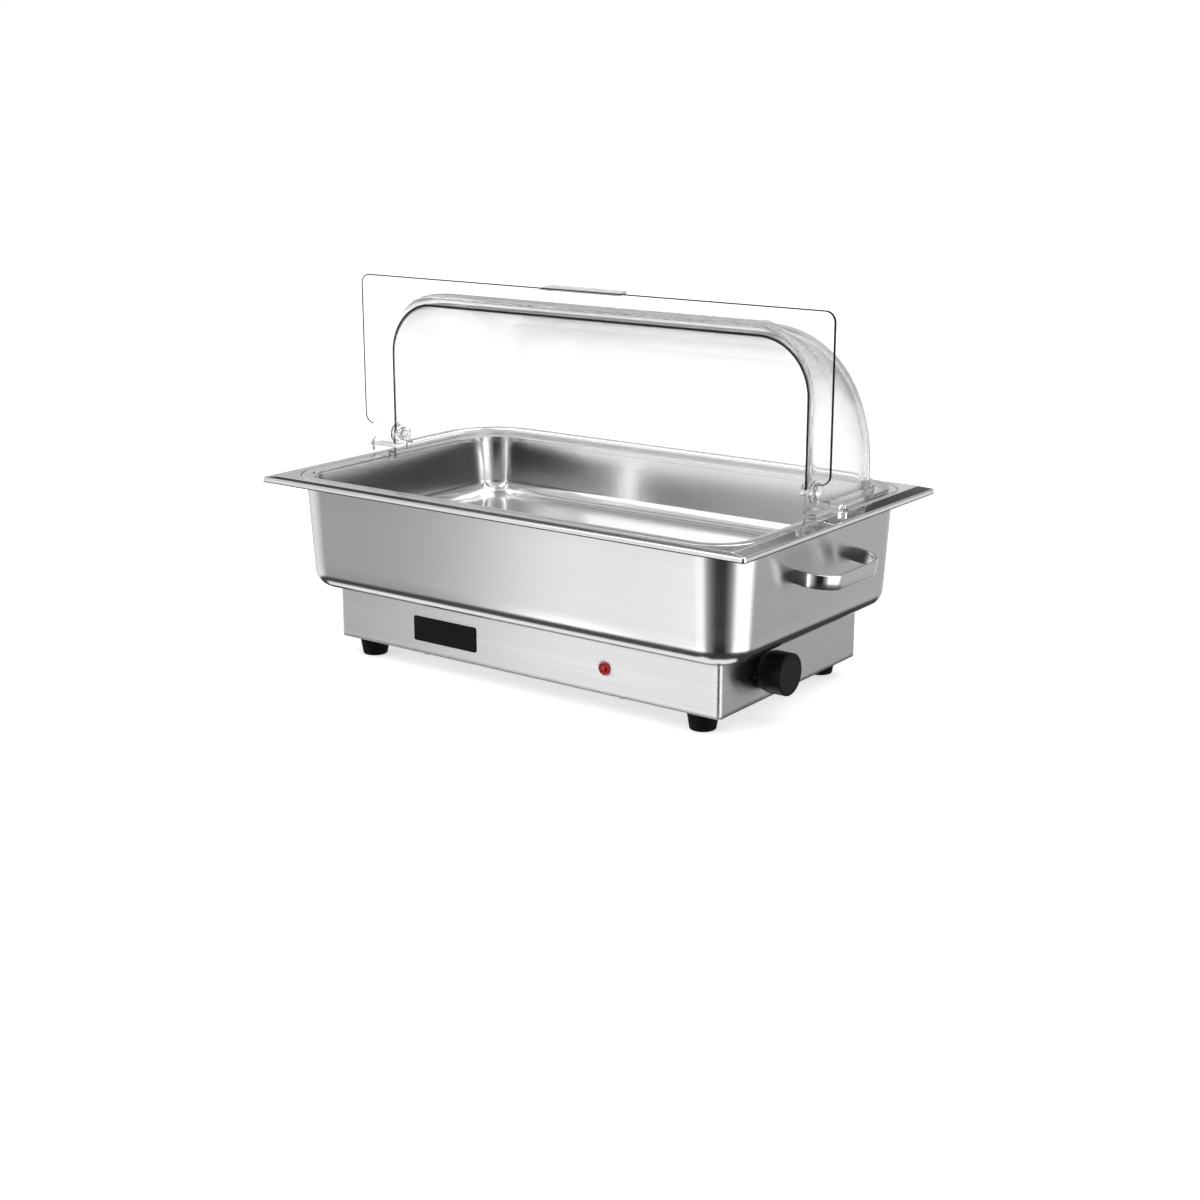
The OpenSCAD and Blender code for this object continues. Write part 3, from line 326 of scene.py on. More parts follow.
def plain_metal(name, tone, roughness, cloud_size):
    """Metal with a cloudy bloom."""
    material, tree, shader = finish_of(name)
    size = 1.0 / cloud_size
    cloud = stretched_noise(tree, (size, size, size), FINE_DETAIL)
    feed(tree, shader, {
        "Metallic": 1.0,
        "Base Color": ramp(tree, cloud, [(0.35, shaded(tone, 0.82)), (0.65, tone)]),
        "Roughness": ramp(tree, cloud, [(0.35, 1.2 * roughness), (0.65, 0.8 * roughness)]),
        "Normal": bump(tree, cloud, BLOOM_DEPTH, BLOOM_STRENGTH),
    })
    return material


zinc = plain_metal("zinc_plate", (0.62, 0.63, 0.65), 0.38, 0.012)
aluminium = plain_metal("aluminium_plate", (0.8, 0.81, 0.82), 0.4, 0.02)
brass = plain_metal("brass", (0.72, 0.5, 0.18), 0.3, 0.01)
sheath = plain_metal("element_sheath", (0.2, 0.18, 0.16), 0.55, 0.015)
# Near-black zinc for the thermostat's screw heads: painted shade for the gap behind the knob.
zinc_in_painted_shade = plain_metal("zinc_in_painted_shade", (0.03, 0.03, 0.032), 0.45, 0.012)
# Near-black finish for the turned-under edge of the lip: painted shade for the shadow there, on a cut edge
# that is duller than the sheet.
cut_edge_and_shade = plain_metal("cut_edge_and_shade", (0.06, 0.06, 0.06), 0.5, 0.01)
print("metal finishes made")

# %% [markdown]
# ## Dress the CAD nodes
# The record says which slot each node belongs to, so one table from slot to finish dresses them all.
# The heads of the thermostat's two screws sit on the end wall, in the gap behind the knob. Their
# near-black finish is painted shade for that gap, so that no bright metal shows there.

# %% Materials by slot
SLOT_FINISH = {
    "brushed_stainless": base_steel,
    "satin_stainless": pan_steel,
    "polished_stainless": bright_steel,
    "zinc_steel": zinc,
    "aluminium_plate": aluminium,
    "element_sheath": sheath,
    "ceramic": ceramic,
    "brass": brass,
    "black_plastic": black_plastic,
    "black_plate": black_plate,
    "red_plastic": red_plastic,
    "red_lens": red_lens,
    "wire_jacket": wire_jacket,
    "clear_plastic": clear_plastic,
    "rubber": black_rubber,
}


def dress(names, material):
    """Gives CAD nodes one material."""
    for name in names:
        mesh = bpy.data.objects[name].data
        mesh.materials.clear()
        mesh.materials.append(material)
    print(material.name, "on", len(names), "pieces")


node_slot = {s["node"]: s["material_slot"] for s in frame["record"]["subparts"]}
for slot_name, material in SLOT_FINISH.items():
    dress([n for n in nodes if node_slot[n] == slot_name], material)
# Painted shade: the screw heads in the gap behind the knob get the near-black zinc.
dress(["thermostat_screws"], zinc_in_painted_shade)

# %% [markdown]
# ## Cut edges of the clear sheet
# Light runs a long way along a clear sheet before it leaves at a sawn edge, so the edge looks dark. That
# dark line is painted in as shade: the thin faces round the flange of the front cover, and the front of
# the bead round the rear cover's mouth, get a near-black, dull finish of their own. The faces are found by
# their normals and by where they lie.

# %% Tint the cut edges
# EDGE_TONE is painted shade: the dark line that the edge of a clear sheet shows.
EDGE_TONE, EDGE_GLOSS = (0.015, 0.016, 0.017, 1.0), 0.05
SAW_GRAIN = (300.0, 300.0, 300.0)
FLANGE_BACK, MOUTH_FRONT, MOUTH_FOOT = -0.0224, -0.0125, 0.209
SIDEWAYS, FORWARD = 0.3, -0.8

clear_edge_painted_shade, tree, shader = finish_of("clear_edge_painted_shade")
saw_marks = stretched_noise(tree, SAW_GRAIN, BROAD_DETAIL)
feed(tree, shader, {
    "Base Color": EDGE_TONE,
    "Specular IOR Level": EDGE_GLOSS,
    "Roughness": ramp(tree, saw_marks, [(0.3, 0.5), (0.7, 0.7)]),
})


def on_flange_edge(normal, corners):
    """Thin faces round the front cover's flange."""
    return abs(normal.y) < SIDEWAYS and all(c.y < FLANGE_BACK for c in corners)


def on_mouth_bead(normal, corners):
    """Front of the bead round the rear cover's mouth."""
    return normal.y < FORWARD and all(c.y < MOUTH_FRONT and c.z > MOUTH_FOOT for c in corners)


for name, is_edge in (("front_cover", on_flange_edge), ("rear_cover", on_mouth_bead)):
    mesh = bpy.data.objects[name].data
    mesh.materials.append(clear_edge_painted_shade)
    found = [f for f in mesh.polygons if is_edge(f.normal, [mesh.vertices[i].co for i in f.vertices])]
    for face in found:
        face.material_index = 1
    print(name, "has", len(found), "dark edge faces")

# %% [markdown]
# ## Skins from rings
# A drawn pan is a stack of rounded rectangles: each ring has a half length, a half width, a corner
# radius and a height. Lofting from ring to ring gives clean quads that follow the bends, and the ring at
# each end is closed with one flat face. A bent bar is a stack of rings too, along its bend, and a turned
# piece is one along its axis, so the same loft makes every new skin here.

# %% Rings and lofts
MM = 0.001
CORNER_STEPS = 14
CORNERS = ((1, 1), (-1, 1), (-1, -1), (1, -1))


def arc(centre, radius, start, end, steps):
    """Points along an arc, with its angles in degrees."""
    points = []
    for i in range(steps + 1):
        a = math.radians(start + (end - start) * i / steps)
        points.append((centre[0] + radius * math.cos(a), centre[1] + radius * math.sin(a)))
    return points


def rounded_box(half_a, half_b, radius, steps):
    """Points of a rounded rectangle, counter-clockwise."""
    points = []
    for quarter, (side_a, side_b) in enumerate(CORNERS):
        centre = (side_a * (half_a - radius), side_b * (half_b - radius))
        points += arc(centre, radius, 90 * quarter, 90 * quarter + 90, steps)
    return points


def ring(half_l, half_w, radius, z):
    """A level ring in metres from sizes in millimetres."""
    return [(x * MM, y * MM, z * MM) for x, y in rounded_box(half_l, half_w, radius, CORNER_STEPS)]


def loft(name, rings):
    """A mesh of quads from ring to ring, with one flat face over each end."""
    count = len(rings[0])
    verts = [point for points in rings for point in points]
    faces = []
    for low in range(0, len(verts) - count, count):
        high = low + count
        for j in range(count):
            k = (j + 1) % count
            faces.append((low + j, low + k, high + k, high + j))
    faces.append(tuple(reversed(range(count))))
    faces.append(tuple(range(len(verts) - count, len(verts))))
    mesh = bpy.data.meshes.new(name)
    mesh.from_pydata(verts, [], faces)
    mesh.validate()
    mesh.update()
    return mesh


print("loft helpers ready")

# %% [markdown]
# ## Pieces that move with the solids
# A new skin has to move with the body that it belongs to and take the place of the CAD node under it.
# Every piece is shaded smooth, and only edges sharper than a limit stay crisp.

# %% Piece helper
SHARP_DEGREES = 35.0


def piece(name, rings, material, body, replaced, sharp=SHARP_DEGREES):
    """Lofts a new piece, dresses it and lets it ride on its body in place of CAD nodes."""
    mesh = loft(name, rings)
    mesh.shade_smooth()
    mesh.set_sharp_from_angle(angle=math.radians(sharp))
    mesh.materials.append(material)
    thing = bpy.data.objects.new(name, mesh)
    bpy.context.scene.collection.objects.link(thing)
    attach(thing, body)
    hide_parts(*replaced)
    print(name, "has", len(mesh.polygons), "faces")
    return thing


print("piece helper ready")

# %% [markdown]
# ## The water pan
# The big tub is one drawn sheet: bottom, fillet, leaning wall, a ledge that carries the food pan, a
# small step up, a flat crest, a crease, and an outer band that falls away into the turned-down lip. The
# crease and the lip have nearly square corners, so the band is hipped like a roof. The rings run up the
# inside, over the rim and down the outside, so the sheet keeps its thickness all the way. All its sizes
# are in millimetres. First come the sections of its bends.

# %% Water pan bends
TUB_Z, RIM_Z = 71.5, 186.0
RIM_STEP, TUB_SHEET = 2.0, 1.0
TUB_DEPTH = RIM_Z - TUB_Z - RIM_STEP
TUB_LEAN, TUB_FILLET, TUB_BEND = 6.4, 18.0, 4.0
FALL, LIP, LIP_BEND, LIP_LEAN = 1.8, 7.0, 1.6, 0.25
LIP_TILT, LIP_EDGE_IN, LIP_EDGE_UP = 4, 0.05, 1.1
FILLET_STEPS, OUTER_FILLET_STEPS, BEND_STEPS, EDGE_STEPS, RETURN_STEPS = 14, 18, 8, 6, 5


def drawn_bends(depth, lean, fillet, sheet, bend):
    """Angle of a leaning wall, and the centres of its fillet and of the bend to its rim."""
    angle = math.atan(lean / depth)
    s, c = math.sin(angle), math.cos(angle)
    foot = (-fillet * (1.0 - s) / c, fillet)
    top_z = depth - bend + (bend - sheet) * s
    head = (top_z * s / c + (bend - sheet) * c, depth - bend)
    return math.degrees(angle), foot, head


lean_angle, foot, head = drawn_bends(TUB_DEPTH, TUB_LEAN, TUB_FILLET, TUB_SHEET, TUB_BEND)
inside = arc(foot, TUB_FILLET - TUB_SHEET, -90, -lean_angle, FILLET_STEPS)
inside += arc(head, TUB_BEND, 180 - lean_angle, 90, BEND_STEPS)
outside = arc(head, TUB_BEND - TUB_SHEET, 90, 180 - lean_angle, BEND_STEPS)
outside += arc(foot, TUB_FILLET, -lean_angle, -90, OUTER_FILLET_STEPS)

knee = (-LIP_BEND - LIP_LEAN, -FALL - LIP_BEND)
lip = arc(knee, LIP_BEND, 90 - LIP_TILT, LIP_TILT, BEND_STEPS)
lip += [(-LIP_EDGE_IN, LIP_EDGE_UP - LIP)]
edge_start = len(lip) - 1
lip += arc((-TUB_SHEET / 2, TUB_SHEET / 2 - LIP), TUB_SHEET / 2, 0, -180, EDGE_STEPS)
edge_rings = len(lip) - 1 - edge_start
lip += arc(knee, LIP_BEND - TUB_SHEET, LIP_TILT, 90, RETURN_STEPS)
print("the wall leans by", round(lean_angle, 2), "degrees")

# %% [markdown]
# ## The water pan's rings
# The sections now go round the outlines of the tub, the recess, the crease and the lip. A few rings close
# together at each edge keep it tight, with a radius that catches the light. The rings of the raw edge
# under the lip get a near-black finish of their own: painted shade for the shadow under the lip, on a cut
# edge that is duller than the buffed sheet.

# %% Water pan
RIM_L, RIM_W, RIM_CORNER = 283.0, 173.5, 4.0
RECESS_L, RECESS_W, RECESS_CORNER = 266.5, 164.0, 47.5
TUB_L, TUB_W, TUB_CORNER = 256.6, 149.1, 36.0
CREASE_L, CREASE_W, CREASE_CORNER = 267.5, 167.5, 2.0
STEP_FOOT = ((-0.5, 0.0), (-0.15, 0.15), (0.0, 0.5))
STEP_ROUND, STEP_ROUND_STEPS, CREST_START = 0.3, 3, 0.36
CREASE_BEND = ((-0.4, 0.0), (-0.3, -0.02), (-0.1, -0.16), (0.1, -0.36), (0.6, -0.48))
BAND_SHARES = (0.06, 0.94)


def offset_rings(section, half_l, half_w, corner, base_z):
    """Rings at a section's points, each outset from one outline."""
    return [ring(half_l + x, half_w + x, corner + x, base_z + z) for x, z in section]


def between(first, second, share):
    """A ring part of the way from one ring to another."""
    return [tuple(a + (b - a) * share for a, b in zip(p, q)) for p, q in zip(first, second)]


ledge = RIM_Z - RIM_STEP
recess = (RECESS_L, RECESS_W, RECESS_CORNER)
step_head = arc((STEP_ROUND, -STEP_ROUND), STEP_ROUND, 180, 90, STEP_ROUND_STEPS)
step_head += [(CREST_START, 0.0)]
lip_rings = offset_rings(lip, RIM_L, RIM_W, RIM_CORNER, RIM_Z)

tub_rings = offset_rings(inside, TUB_L, TUB_W, TUB_CORNER, TUB_Z)
tub_rings += offset_rings(STEP_FOOT, *recess, ledge) + offset_rings(step_head, *recess, RIM_Z)
tub_rings += [ring(CREASE_L + x, CREASE_W + x, CREASE_CORNER, RIM_Z + z) for x, z in CREASE_BEND]
slope_start = tub_rings[-1]
tub_rings += [between(slope_start, lip_rings[0], share) for share in BAND_SHARES]
first_edge = len(tub_rings) + edge_start
tub_rings += lip_rings
tub_rings += offset_rings(((TUB_SHEET, RIM_STEP), (TUB_SHEET, 0.0)), *recess, ledge - TUB_SHEET)
tub_rings += offset_rings(outside, TUB_L, TUB_W, TUB_CORNER, TUB_Z)

water_pan = piece("water_pan_skin", tub_rings, pan_steel, "base", ["water_pan"])
# The edge rings under the lip get the near-black finish, painted shade for the shadow under the lip.
water_pan.data.materials.append(cut_edge_and_shade)
ring_size = len(tub_rings[0])
for face in water_pan.data.polygons[first_edge * ring_size:(first_edge + edge_rings) * ring_size]:
    face.material_index = 1

# %% [markdown]
# ## The food pan
# The loose pan is thinner and brighter. Its flat rim ends in a small turned-down edge that lies on
# the ledge, so a thin dark gap runs all round it. It is drawn like the tub, so the same bends serve.
# Only the inside is polished: the outside keeps the satin of the sheet that it was drawn from. The last
# two faces of a loft are its ends, here the floor inside and the bottom outside.

# %% Food pan
PAN_L, PAN_W, PAN_RIM_CORNER = 265.0, 162.5, 46.0
PAN_DEPTH, PAN_RIM, PAN_LEAN, PAN_SHEET = 65.0, 12.0, 7.0, 0.9
PAN_FILLET, PAN_BEND, PAN_TURN = 16.0, 4.0, 1.5
TURN_STEPS, INNER_TURN_STEPS = 6, 4

pan_angle, foot, head = drawn_bends(PAN_DEPTH, PAN_LEAN, PAN_FILLET, PAN_SHEET, PAN_BEND)
edge = PAN_RIM + PAN_LEAN
turn = (edge - PAN_TURN, PAN_DEPTH - PAN_TURN)
pan_section = arc(foot, PAN_FILLET - PAN_SHEET, -90, -pan_angle, FILLET_STEPS)
pan_section += arc(head, PAN_BEND, 180 - pan_angle, 90, BEND_STEPS)
pan_section += arc(turn, PAN_TURN, 90, 0, TURN_STEPS)
pan_section += [(edge, PAN_DEPTH - RIM_STEP), (edge - PAN_SHEET, PAN_DEPTH - RIM_STEP)]
pan_section += arc(turn, PAN_TURN - PAN_SHEET, 0, 90, INNER_TURN_STEPS)
outside_start = len(pan_section)
pan_section += arc(head, PAN_BEND - PAN_SHEET, 90, 180 - pan_angle, BEND_STEPS)
pan_section += arc(foot, PAN_FILLET, -pan_angle, -90, FILLET_STEPS)
pan_floor = (PAN_L - edge, PAN_W - edge, PAN_RIM_CORNER - edge)
pan_rings = offset_rings(pan_section, *pan_floor, RIM_Z - PAN_DEPTH)
food_pan = piece("food_pan_skin", pan_rings, bright_steel, "food_pan", ["food_pan"])

food_pan.data.materials.append(pan_steel)
pan_faces = list(food_pan.data.polygons)
for face in pan_faces[outside_start * ring_size:-2] + pan_faces[-1:]:
    face.material_index = 1

# %% [markdown]
# ## The strap handles
# Each handle is a flat bar bent to a U and welded to the leaning end wall. A rounded section is swept
# along the bend. A curve with a bevel could do that too, but here the points of both ends also slide
# along the bar until they lie on the wall's slope, so that no gap shows at the weld.

# %% Handle skins
STRAP_H, STRAP_T, STRAP_BEND, STRAP_ROUND = 14.0, 3.0, 26.0, 0.8
REACH, HALF_SPAN, WELD_SINK = 36.0, 54.0, 0.4
DROOP = math.radians(8.0)
HANDLE_DROP = 45.5
STRAP_START = -4.0
STRAP_STEPS, ROUND_STEPS = 14, 4

wall_slope = TUB_LEAN / TUB_DEPTH
handle_z = RIM_Z - HANDLE_DROP
wall_x = TUB_L + (handle_z - TUB_Z) * wall_slope


def strap_path():
    """Stations along the U, from wall to wall: place and outward direction."""
    radius = STRAP_BEND - STRAP_T / 2
    bend_x, bend_y = REACH - STRAP_BEND, HALF_SPAN - STRAP_BEND
    side = bend_y + radius
    stations = [((STRAP_START, side), (0.0, 1.0)), ((bend_x / 2, side), (0.0, 1.0))]
    for x, y in arc((0.0, 0.0), 1.0, 90, 0, STRAP_STEPS):
        stations.append(((bend_x + radius * x, bend_y + radius * y), (x, y)))
    mirrored = [((x, -y), (out_x, -out_y)) for (x, y), (out_x, out_y) in reversed(stations)]
    return stations + [((REACH - STRAP_T / 2, 0.0), (1.0, 0.0))] + mirrored


def handle_rings(side):
    """Rings of one handle; side is 1 at the knob end and -1 at the other."""
    path = strap_path()
    rings = []
    for index, ((px, py), (nx, ny)) in enumerate(path):
        points = []
        for out, up in rounded_box(STRAP_T / 2, STRAP_H / 2, STRAP_ROUND, ROUND_STEPS):
            along = px + nx * out
            x = along * math.cos(DROOP) + up * math.sin(DROOP)
            z = up * math.cos(DROOP) - along * math.sin(DROOP)
            if index in (0, len(path) - 1):
                gap = z * wall_slope - WELD_SINK - x
                slide = gap / (math.cos(DROOP) + math.sin(DROOP) * wall_slope)
                x += slide * math.cos(DROOP)
                z -= slide * math.sin(DROOP)
            points.append((side * (wall_x + x) * MM, (py + ny * out) * MM, (handle_z + z) * MM))
        rings.append(points[::side])
    return rings


for name, side in (("right_handle", 1), ("left_handle", -1)):
    piece(name + "_skin", handle_rings(side), bright_steel, "base", [name])

# %% [markdown]
# ## The line round the flange
# The front cover ends in a flat flange of clear sheet. Its edge is so thin that the tint of its faces is
# lost between two pixels, and yet on a real sheet it draws a fine dark line. A thin round bead, in the
# same near-black finish as the edges, stands for that line as painted shade. It is swept up one side,
# across the top and down the other, a little inside the edge.

# %% Flange bead
FLANGE_HALF, FLANGE_FOOT, FLANGE_TOP, FLANGE_CORNER = 278.0, 218.5, 373.0, 10.0
FLANGE_FRONT, BEAD_R, BEAD_INSET = -25.1, 0.6, 0.3
FLANGE_STEPS, BEAD_STEPS = 8, 7
BEAD_SHARP = 60.0


def flange_outline():
    """Stations along the flange's edge, from foot to foot: place and outward direction."""
    reach = FLANGE_HALF - FLANGE_CORNER
    low, high = FLANGE_FOOT + FLANGE_CORNER, FLANGE_TOP - FLANGE_CORNER
    stations = []
    for x, z, start in ((-reach, low, 270), (-reach, high, 180), (reach, high, 90), (reach, low, 0)):
        for out_x, out_z in arc((0.0, 0.0), 1.0, start, start - 90, FLANGE_STEPS):
            place = (x + FLANGE_CORNER * out_x, z + FLANGE_CORNER * out_z)
            stations.append((place, (out_x, out_z)))
    return stations


def bead_ring(place, out):
    """The bead's round section at one station."""
    section = arc((-BEAD_INSET, FLANGE_FRONT + BEAD_INSET), BEAD_R, 0, 315, BEAD_STEPS)
    return [((place[0] + out[0] * s) * MM, y * MM, (place[1] + out[1] * s) * MM) for s, y in section]


bead_rings = [bead_ring(place, out) for place, out in flange_outline()]
# A dark bead painted in as the shade line round the flange.
piece("flange_bead", bead_rings, clear_edge_painted_shade, "front_cover", [], BEAD_SHARP)

# %% [markdown]
# ## Turned pieces
# The knob, the feet and the lamp are turned or moulded round an axis. A profile of radius and height
# spun in steps gives them soft edges, which catch the light where a CAD edge would be a hard line. The
# Screw modifier spins a profile too, but rings keep these pieces in the same loft as the others.

# %% Spin helpers
EDGE_ARC, NOSE_ARC = 5, 6


def spin(profile, sides, place):
    """Rings from a profile of (radius, height) in millimetres; place is the matrix of the axis."""
    turns = [2.0 * math.pi * j / sides for j in range(sides)]
    rings = []
    for r, h in profile:
        rings.append([place @ Vector((r * MM * math.cos(a), r * MM * math.sin(a), h * MM)) for a in turns])
    return rings


def standing(x, y, z):
    """Place with the axis up."""
    return Matrix.Translation((x * MM, y * MM, z * MM))


def to_right(x, y, z):
    """Place with the axis along +X."""
    return standing(x, y, z) @ Matrix.Rotation(math.pi / 2, 4, "Y")


def to_front(x, y, z):
    """Place with the axis along -Y."""
    return standing(x, y, z) @ Matrix.Rotation(math.pi / 2, 4, "X")


print("spin helpers ready")

# %% [markdown]
# ## The knob
# A plain black knob without a pointer sits on the thermostat's shaft at the right end. It widens a little
# from its back to its grip, and its face lies a hair's breadth below the rounded edge.

# %% Knob
KNOB_R, KNOB_L, KNOB_BORE = 20.0, 25.0, 3.4
KNOB_PLACE = (232.0, -48.0, 46.5)
KNOB_BACK, BACK_ROUND, NOSE_ROUND = 17.8, 0.7, 1.4
KNOB_FLARE = [(18.9, 3.0), (KNOB_R, 6.0)]
FACE_SINK, FACE_RADII = 0.25, (16.6, 16.2, 15.8)
KNOB_SIDES, KNOB_SHARP = 96, 30.0

knob_profile = [(KNOB_BORE, 0.0), (KNOB_BACK, 0.0)]
knob_profile += arc((KNOB_BACK, BACK_ROUND), BACK_ROUND, -90, 0, EDGE_ARC) + KNOB_FLARE
knob_profile += arc((KNOB_R - NOSE_ROUND, KNOB_L - NOSE_ROUND), NOSE_ROUND, 0, 90, NOSE_ARC)
knob_profile += zip(FACE_RADII, (KNOB_L, KNOB_L - FACE_SINK, KNOB_L - FACE_SINK))
knob_rings = spin(knob_profile, KNOB_SIDES, to_right(*KNOB_PLACE))
piece("control_knob_skin", knob_rings, black_plastic, "knob", ["control_knob"], KNOB_SHARP)

# %% [markdown]
# ## The feet
# Four rubber feet taper towards the table, with a well in the middle for the screw. All four share one
# profile, and only their places differ.

# %% Feet
FOOT_TOP_R, FOOT_BASE_R, FOOT_H = 15.0, 12.5, 18.0
FOOT_X, FOOT_Y = 200.0, 105.0
WELL_R, WELL_TOP, WELL_MOUTH_R, WELL_ROUND = 4.75, 13.0, 5.2, 0.4
BASE_ROUND, BASE_ROUND_END, TOP_ROUND, TOP_BORE = 1.5, -10, 0.8, 6.0
SHOULDER = (FOOT_TOP_R - 0.1, FOOT_H - 2.0)
TURNED_SIDES = 64
FOOT_CORNERS = {"front_left": (-1, -1), "front_right": (1, -1), "rear_left": (-1, 1), "rear_right": (1, 1)}

foot_profile = [(WELL_R, WELL_TOP), (WELL_R, WELL_ROUND), (WELL_MOUTH_R, 0.0)]
base_centre = (FOOT_BASE_R - BASE_ROUND, BASE_ROUND)
foot_profile += arc(base_centre, BASE_ROUND, -90, BASE_ROUND_END, EDGE_ARC) + [SHOULDER]
foot_profile += arc((FOOT_TOP_R - TOP_ROUND, FOOT_H - TOP_ROUND), TOP_ROUND, 0, 90, EDGE_ARC)
foot_profile += [(TOP_BORE, FOOT_H)]
for corner, (sx, sy) in FOOT_CORNERS.items():
    foot_rings = spin(foot_profile, TURNED_SIDES, standing(FOOT_X * sx, FOOT_Y * sy, 0.0))
    piece("foot_" + corner + "_skin", foot_rings, black_rubber, "base", ["foot_" + corner])

# %% [markdown]
# ## The lamp
# The red lamp is a lens like a slice of a ball, held in a rounded bezel. The ball's radius follows from
# how wide the slice is and how far it rises.

# %% Lamp
LAMP_PLACE = (103.0, -123.0, 43.0)
LAMP_SHARP = 40.0
LENS_SEAT = -0.9
BEZEL_BORE, BEZEL_R, BEZEL_H, INNER_ROUND, OUTER_ROUND = 4.4, 6.2, 1.6, 0.4, 0.8
BARREL_R, BARREL_END = 5.0, -19.0
BORE_ARC, LENS_ARC = 4, 10
LENS_R, LENS_RISE, LENS_EDGE, LENS_CORE, LENS_TOP = 4.3, 2.2, 0.8, 1.0, 88

bezel_profile = [(BEZEL_BORE, LENS_SEAT), (BEZEL_BORE, BEZEL_H - INNER_ROUND)]
bore_centre = (BEZEL_BORE + INNER_ROUND, BEZEL_H - INNER_ROUND)
bezel_profile += arc(bore_centre, INNER_ROUND, 180, 90, BORE_ARC)
bezel_profile += arc((BEZEL_R - OUTER_ROUND, BEZEL_H - OUTER_ROUND), OUTER_ROUND, 90, 0, NOSE_ARC)
bezel_profile += [(BEZEL_R, 0.0), (BARREL_R, 0.0), (BARREL_R, BARREL_END)]
bezel_rings = spin(bezel_profile, TURNED_SIDES, to_front(*LAMP_PLACE))
piece("lamp_bezel_skin", bezel_rings, red_plastic, "base", ["lamp_bezel"], LAMP_SHARP)

ball = (LENS_R ** 2 + LENS_RISE ** 2) / (2.0 * LENS_RISE)
half_angle = math.degrees(math.asin(LENS_R / ball))
lens_profile = [(LENS_CORE, LENS_SEAT), (LENS_R, LENS_SEAT)]
lens_profile += arc((0.0, LENS_EDGE + LENS_RISE - ball), ball, 90 - half_angle, LENS_TOP, LENS_ARC)
lens_rings = spin(lens_profile, TURNED_SIDES, to_front(*LAMP_PLACE))
piece("lamp_lens_skin", lens_rings, red_lens, "base", ["lamp_lens"], LAMP_SHARP)

# %% [markdown]
# ## Floor and lamps
# A pale floor takes the soft contact shadow of the feet. To the camera, and through the clear covers, it
# also glows a little, which lifts it to white without more light on the dish. It is left out of mirror
# reflections, because the room that comes next has its own floor for them. Two weak, large lamps give the
# shadow its direction.

# %% Floor
FLOOR_SIZE, FLOOR_Z, FLOOR_LIFT = 12.0, -0.0004, 0.58
FLOOR_TONE, WHITE = (0.8, 0.8, 0.8, 1.0), (1.0, 1.0, 1.0, 1.0)

bpy.ops.mesh.primitive_plane_add(size=FLOOR_SIZE, location=(0.0, 0.0, FLOOR_Z))
floor = bpy.context.active_object
floor.name = "studio_floor"
floor.visible_glossy = False
floor_paint, tree, shader = finish_of("floor_paint")
ray = add(tree, "ShaderNodeLightPath", {}).outputs
seen = maths(tree, "MAXIMUM", ray["Is Camera Ray"], ray["Is Transmission Ray"])
feed(tree, shader, {
    "Base Color": FLOOR_TONE,
    "Roughness": 1.0,
    "Specular IOR Level": 0.0,
    "Emission Color": WHITE,
    "Emission Strength": maths(tree, "MULTIPLY", seen, FLOOR_LIFT),
})
floor.data.materials.append(floor_paint)
print("floor placed")

# %% Lamps
LAMP_SIZE = 1.8
AIM = Vector((0.0, 0.0, 0.1))


def soft_lamp(name, place, watts):
    """A square soft box that looks at the dish."""
    lamp = bpy.data.lights.new(name, "AREA")
    lamp.shape = "SQUARE"
    lamp.size = LAMP_SIZE
    lamp.energy = watts
    thing = bpy.data.objects.new(name, lamp)
    thing.location = place
    thing.rotation_euler = (Vector(place) - AIM).to_track_quat("Z", "Y").to_euler()
    bpy.context.scene.collection.objects.link(thing)
    print(name, "gives", watts, "W")


soft_lamp("key_lamp", (-0.6, -1.6, 2.3), 14.0)
soft_lamp("top_lamp", (0.7, 0.8, 2.4), 20.0)

# %% [markdown]
# ## A room for the steel to mirror
# Steel has hardly any look of its own: it shows the room. A product studio puts white panels and black
# cards round the dish, and the bars of light on its sides are those panels. Real planes could stand there
# as objects, but they would get in the way of other views. The world can hold them all instead, painted
# by direction: by azimuth round the dish and by elevation above the floor. Both are brought to the 0 to 1
# of a colour ramp first.

# %% Directions
world = bpy.data.worlds.new("studio")
bpy.context.scene.world = world
world.use_nodes = True
tree = world.node_tree
tree.nodes.clear()

way = add(tree, "ShaderNodeTexCoord", {})
axes = add(tree, "ShaderNodeSeparateXYZ", {"Vector": way.outputs["Generated"]}).outputs
around = maths(tree, "ARCTAN2", axes["Y"], axes["X"])
azimuth = maths(tree, "MULTIPLY_ADD", around, 1.0 / (2.0 * math.pi), 0.5)
elevation = maths(tree, "MULTIPLY_ADD", axes["Z"], 0.5, 0.5)


def at(degrees):
    """Ramp position of an azimuth."""
    return degrees / 360.0 + 0.5


def level(degrees):
    """Ramp position of an elevation."""
    return 0.5 + 0.5 * math.sin(math.radians(degrees))


print("room directions ready")

# %% [markdown]
# ## Panels, ceiling and floor of the room
# The panels are upright bars: bright ones at the front left and at the right, a black card between them
# at the near corner of the dish, and greys behind. Higher up they fade into a grey ceiling, which is kept
# dim so that the rims don't burn out when seen from above. Low down they end in a dark band, which draws
# the dark line along the bottom bend of the pan. Below that band lies the pale floor near the dish.
# Each list holds pairs of a direction in degrees and a tone, a share or, for the floor, its edge.

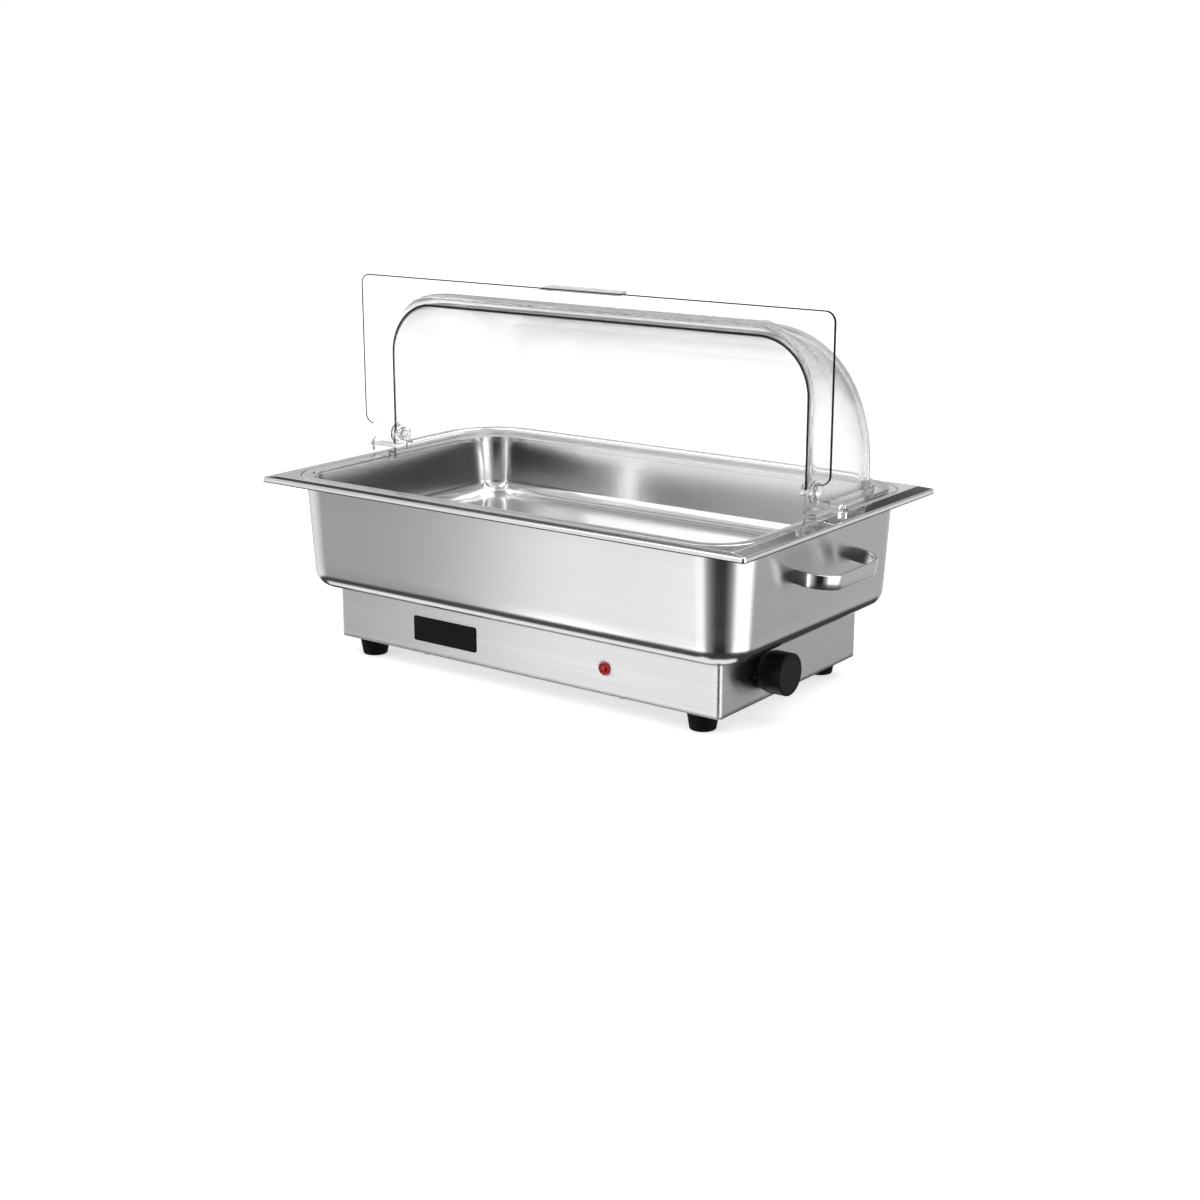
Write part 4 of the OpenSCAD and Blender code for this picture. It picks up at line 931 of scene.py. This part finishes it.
# %% Panels
PANELS = (
    (-180, 0.43), (-152, 0.37), (-142, 0.17), (-134, 0.18), (-131, 0.34), (-128, 1.0),
    (-126, 0.95), (-123.5, 0.4), (-120, 1.0), (-102, 1.0), (-88, 0.25), (-70, 0.04),
    (-62, 0.005), (-42, 0.005), (-25, 0.22), (-12, 1.0), (26, 1.0), (42, 0.27),
    (52, 0.215), (80, 0.215), (112, 0.34), (128, 0.24), (145, 0.24), (180, 0.43),
)
PANEL_SHARE = ((-28.5, 0.0), (-25.5, 1.0), (14, 1.0), (45, 0.25), (80, 0.1))
CEILING = ((-32, 0.02), (-25, 0.02), (10, 0.38), (28, 0.42), (55, 0.3), (80, 0.27))
FLOOR_EDGE = (
    (-180, -42), (-166, -42), (-158, -54), (-118, -54), (-100, -70), (-10, -70),
    (20, -60), (125, -60), (140, -42),
)
FLOOR_GREY = (0.46, 0.46, 0.46, 1.0)
FLOOR_CRISPNESS = 60.0

panels = ramp(tree, azimuth, [(at(side), tone) for side, tone in PANELS])
share = ramp(tree, elevation, [(level(up), part) for up, part in PANEL_SHARE])
ceiling = ramp(tree, elevation, [(level(up), tone) for up, tone in CEILING])
room = blend(tree, share, ceiling, panels)

floor_edge = ramp(tree, azimuth, [(at(side), level(up)) for side, up in FLOOR_EDGE])
below = maths(tree, "SUBTRACT", floor_edge, elevation)
on_floor = maths(tree, "MULTIPLY", below, FLOOR_CRISPNESS, use_clamp=True)
room = blend(tree, on_floor, room, FLOOR_GREY)
print("room has", len(PANELS), "panel stops")

# %% [markdown]
# ## Flags
# A photographer tames single reflections with small cards, called flags. Each one here has one shade
# between two elevations and two azimuths, which are its first four numbers. The first two flags even out
# what the inner walls of the food pan mirror, and the dark ones behind the dish bring shade to its rims
# and bends.

# %% Flags
FLAGS = (
    (-8.0, 6.0, -165, -108, 0.4),
    (-8.0, 6.0, 44, 66, 0.36),
    (15.6, 22.0, 105, 126, 0.03),
    (30.0, 44.0, 128, 152, 0.03),
    (8.0, 46.0, 35, 75, 0.08),
)
FADE_BELOW, FADE_ABOVE, FADE_SIDE = 1.0, 1.5, 8


def fading(tree, source, ends):
    """One between the two inner ends, and fading to nothing at the outer ones."""
    return ramp(tree, source, list(zip(ends, (0.0, 1.0, 1.0, 0.0))))


for low, high, start, end, shade in FLAGS:
    heights = [level(e) for e in (low - FADE_BELOW, low, high, high + FADE_ABOVE)]
    sides = [at(a) for a in (start - FADE_SIDE, start, end, end + FADE_SIDE)]
    card = maths(tree, "MULTIPLY", fading(tree, elevation, heights), fading(tree, azimuth, sides))
    room = blend(tree, card, room, (shade, shade, shade, 1.0))
print("room has", len(FLAGS), "flags")

# %% [markdown]
# ## What each ray sees
# The backdrop has to be plain white, and yet the steel has to mirror the room. Light Path tells the rays
# apart. A camera ray sees white, and so does one that has only gone through the clear covers. A ray that
# steel has mirrored sees the room, even when it leaves through a cover: its Glossy Depth is then above 0.

# %% Rays
ROOM_STRENGTH = 2.3
HALF_BOUNCE = 0.5

ray = add(tree, "ShaderNodeLightPath", {}).outputs
unmirrored = maths(tree, "LESS_THAN", ray["Glossy Depth"], HALF_BOUNCE)
through = maths(tree, "MULTIPLY", ray["Is Transmission Ray"], unmirrored)
seen = maths(tree, "MAXIMUM", ray["Is Camera Ray"], through)
plain = add(tree, "ShaderNodeBackground", {"Color": WHITE})
lit = add(tree, "ShaderNodeBackground", {"Color": room, "Strength": ROOM_STRENGTH})
mixed = add(tree, "ShaderNodeMixShader", {
    0: seen,
    1: lit.outputs["Background"],
    2: plain.outputs["Background"],
})
add(tree, "ShaderNodeOutputWorld", {"Surface": mixed.outputs["Shader"]})
bpy.context.scene.view_settings.view_transform = "Standard"
print("world is", world.name)
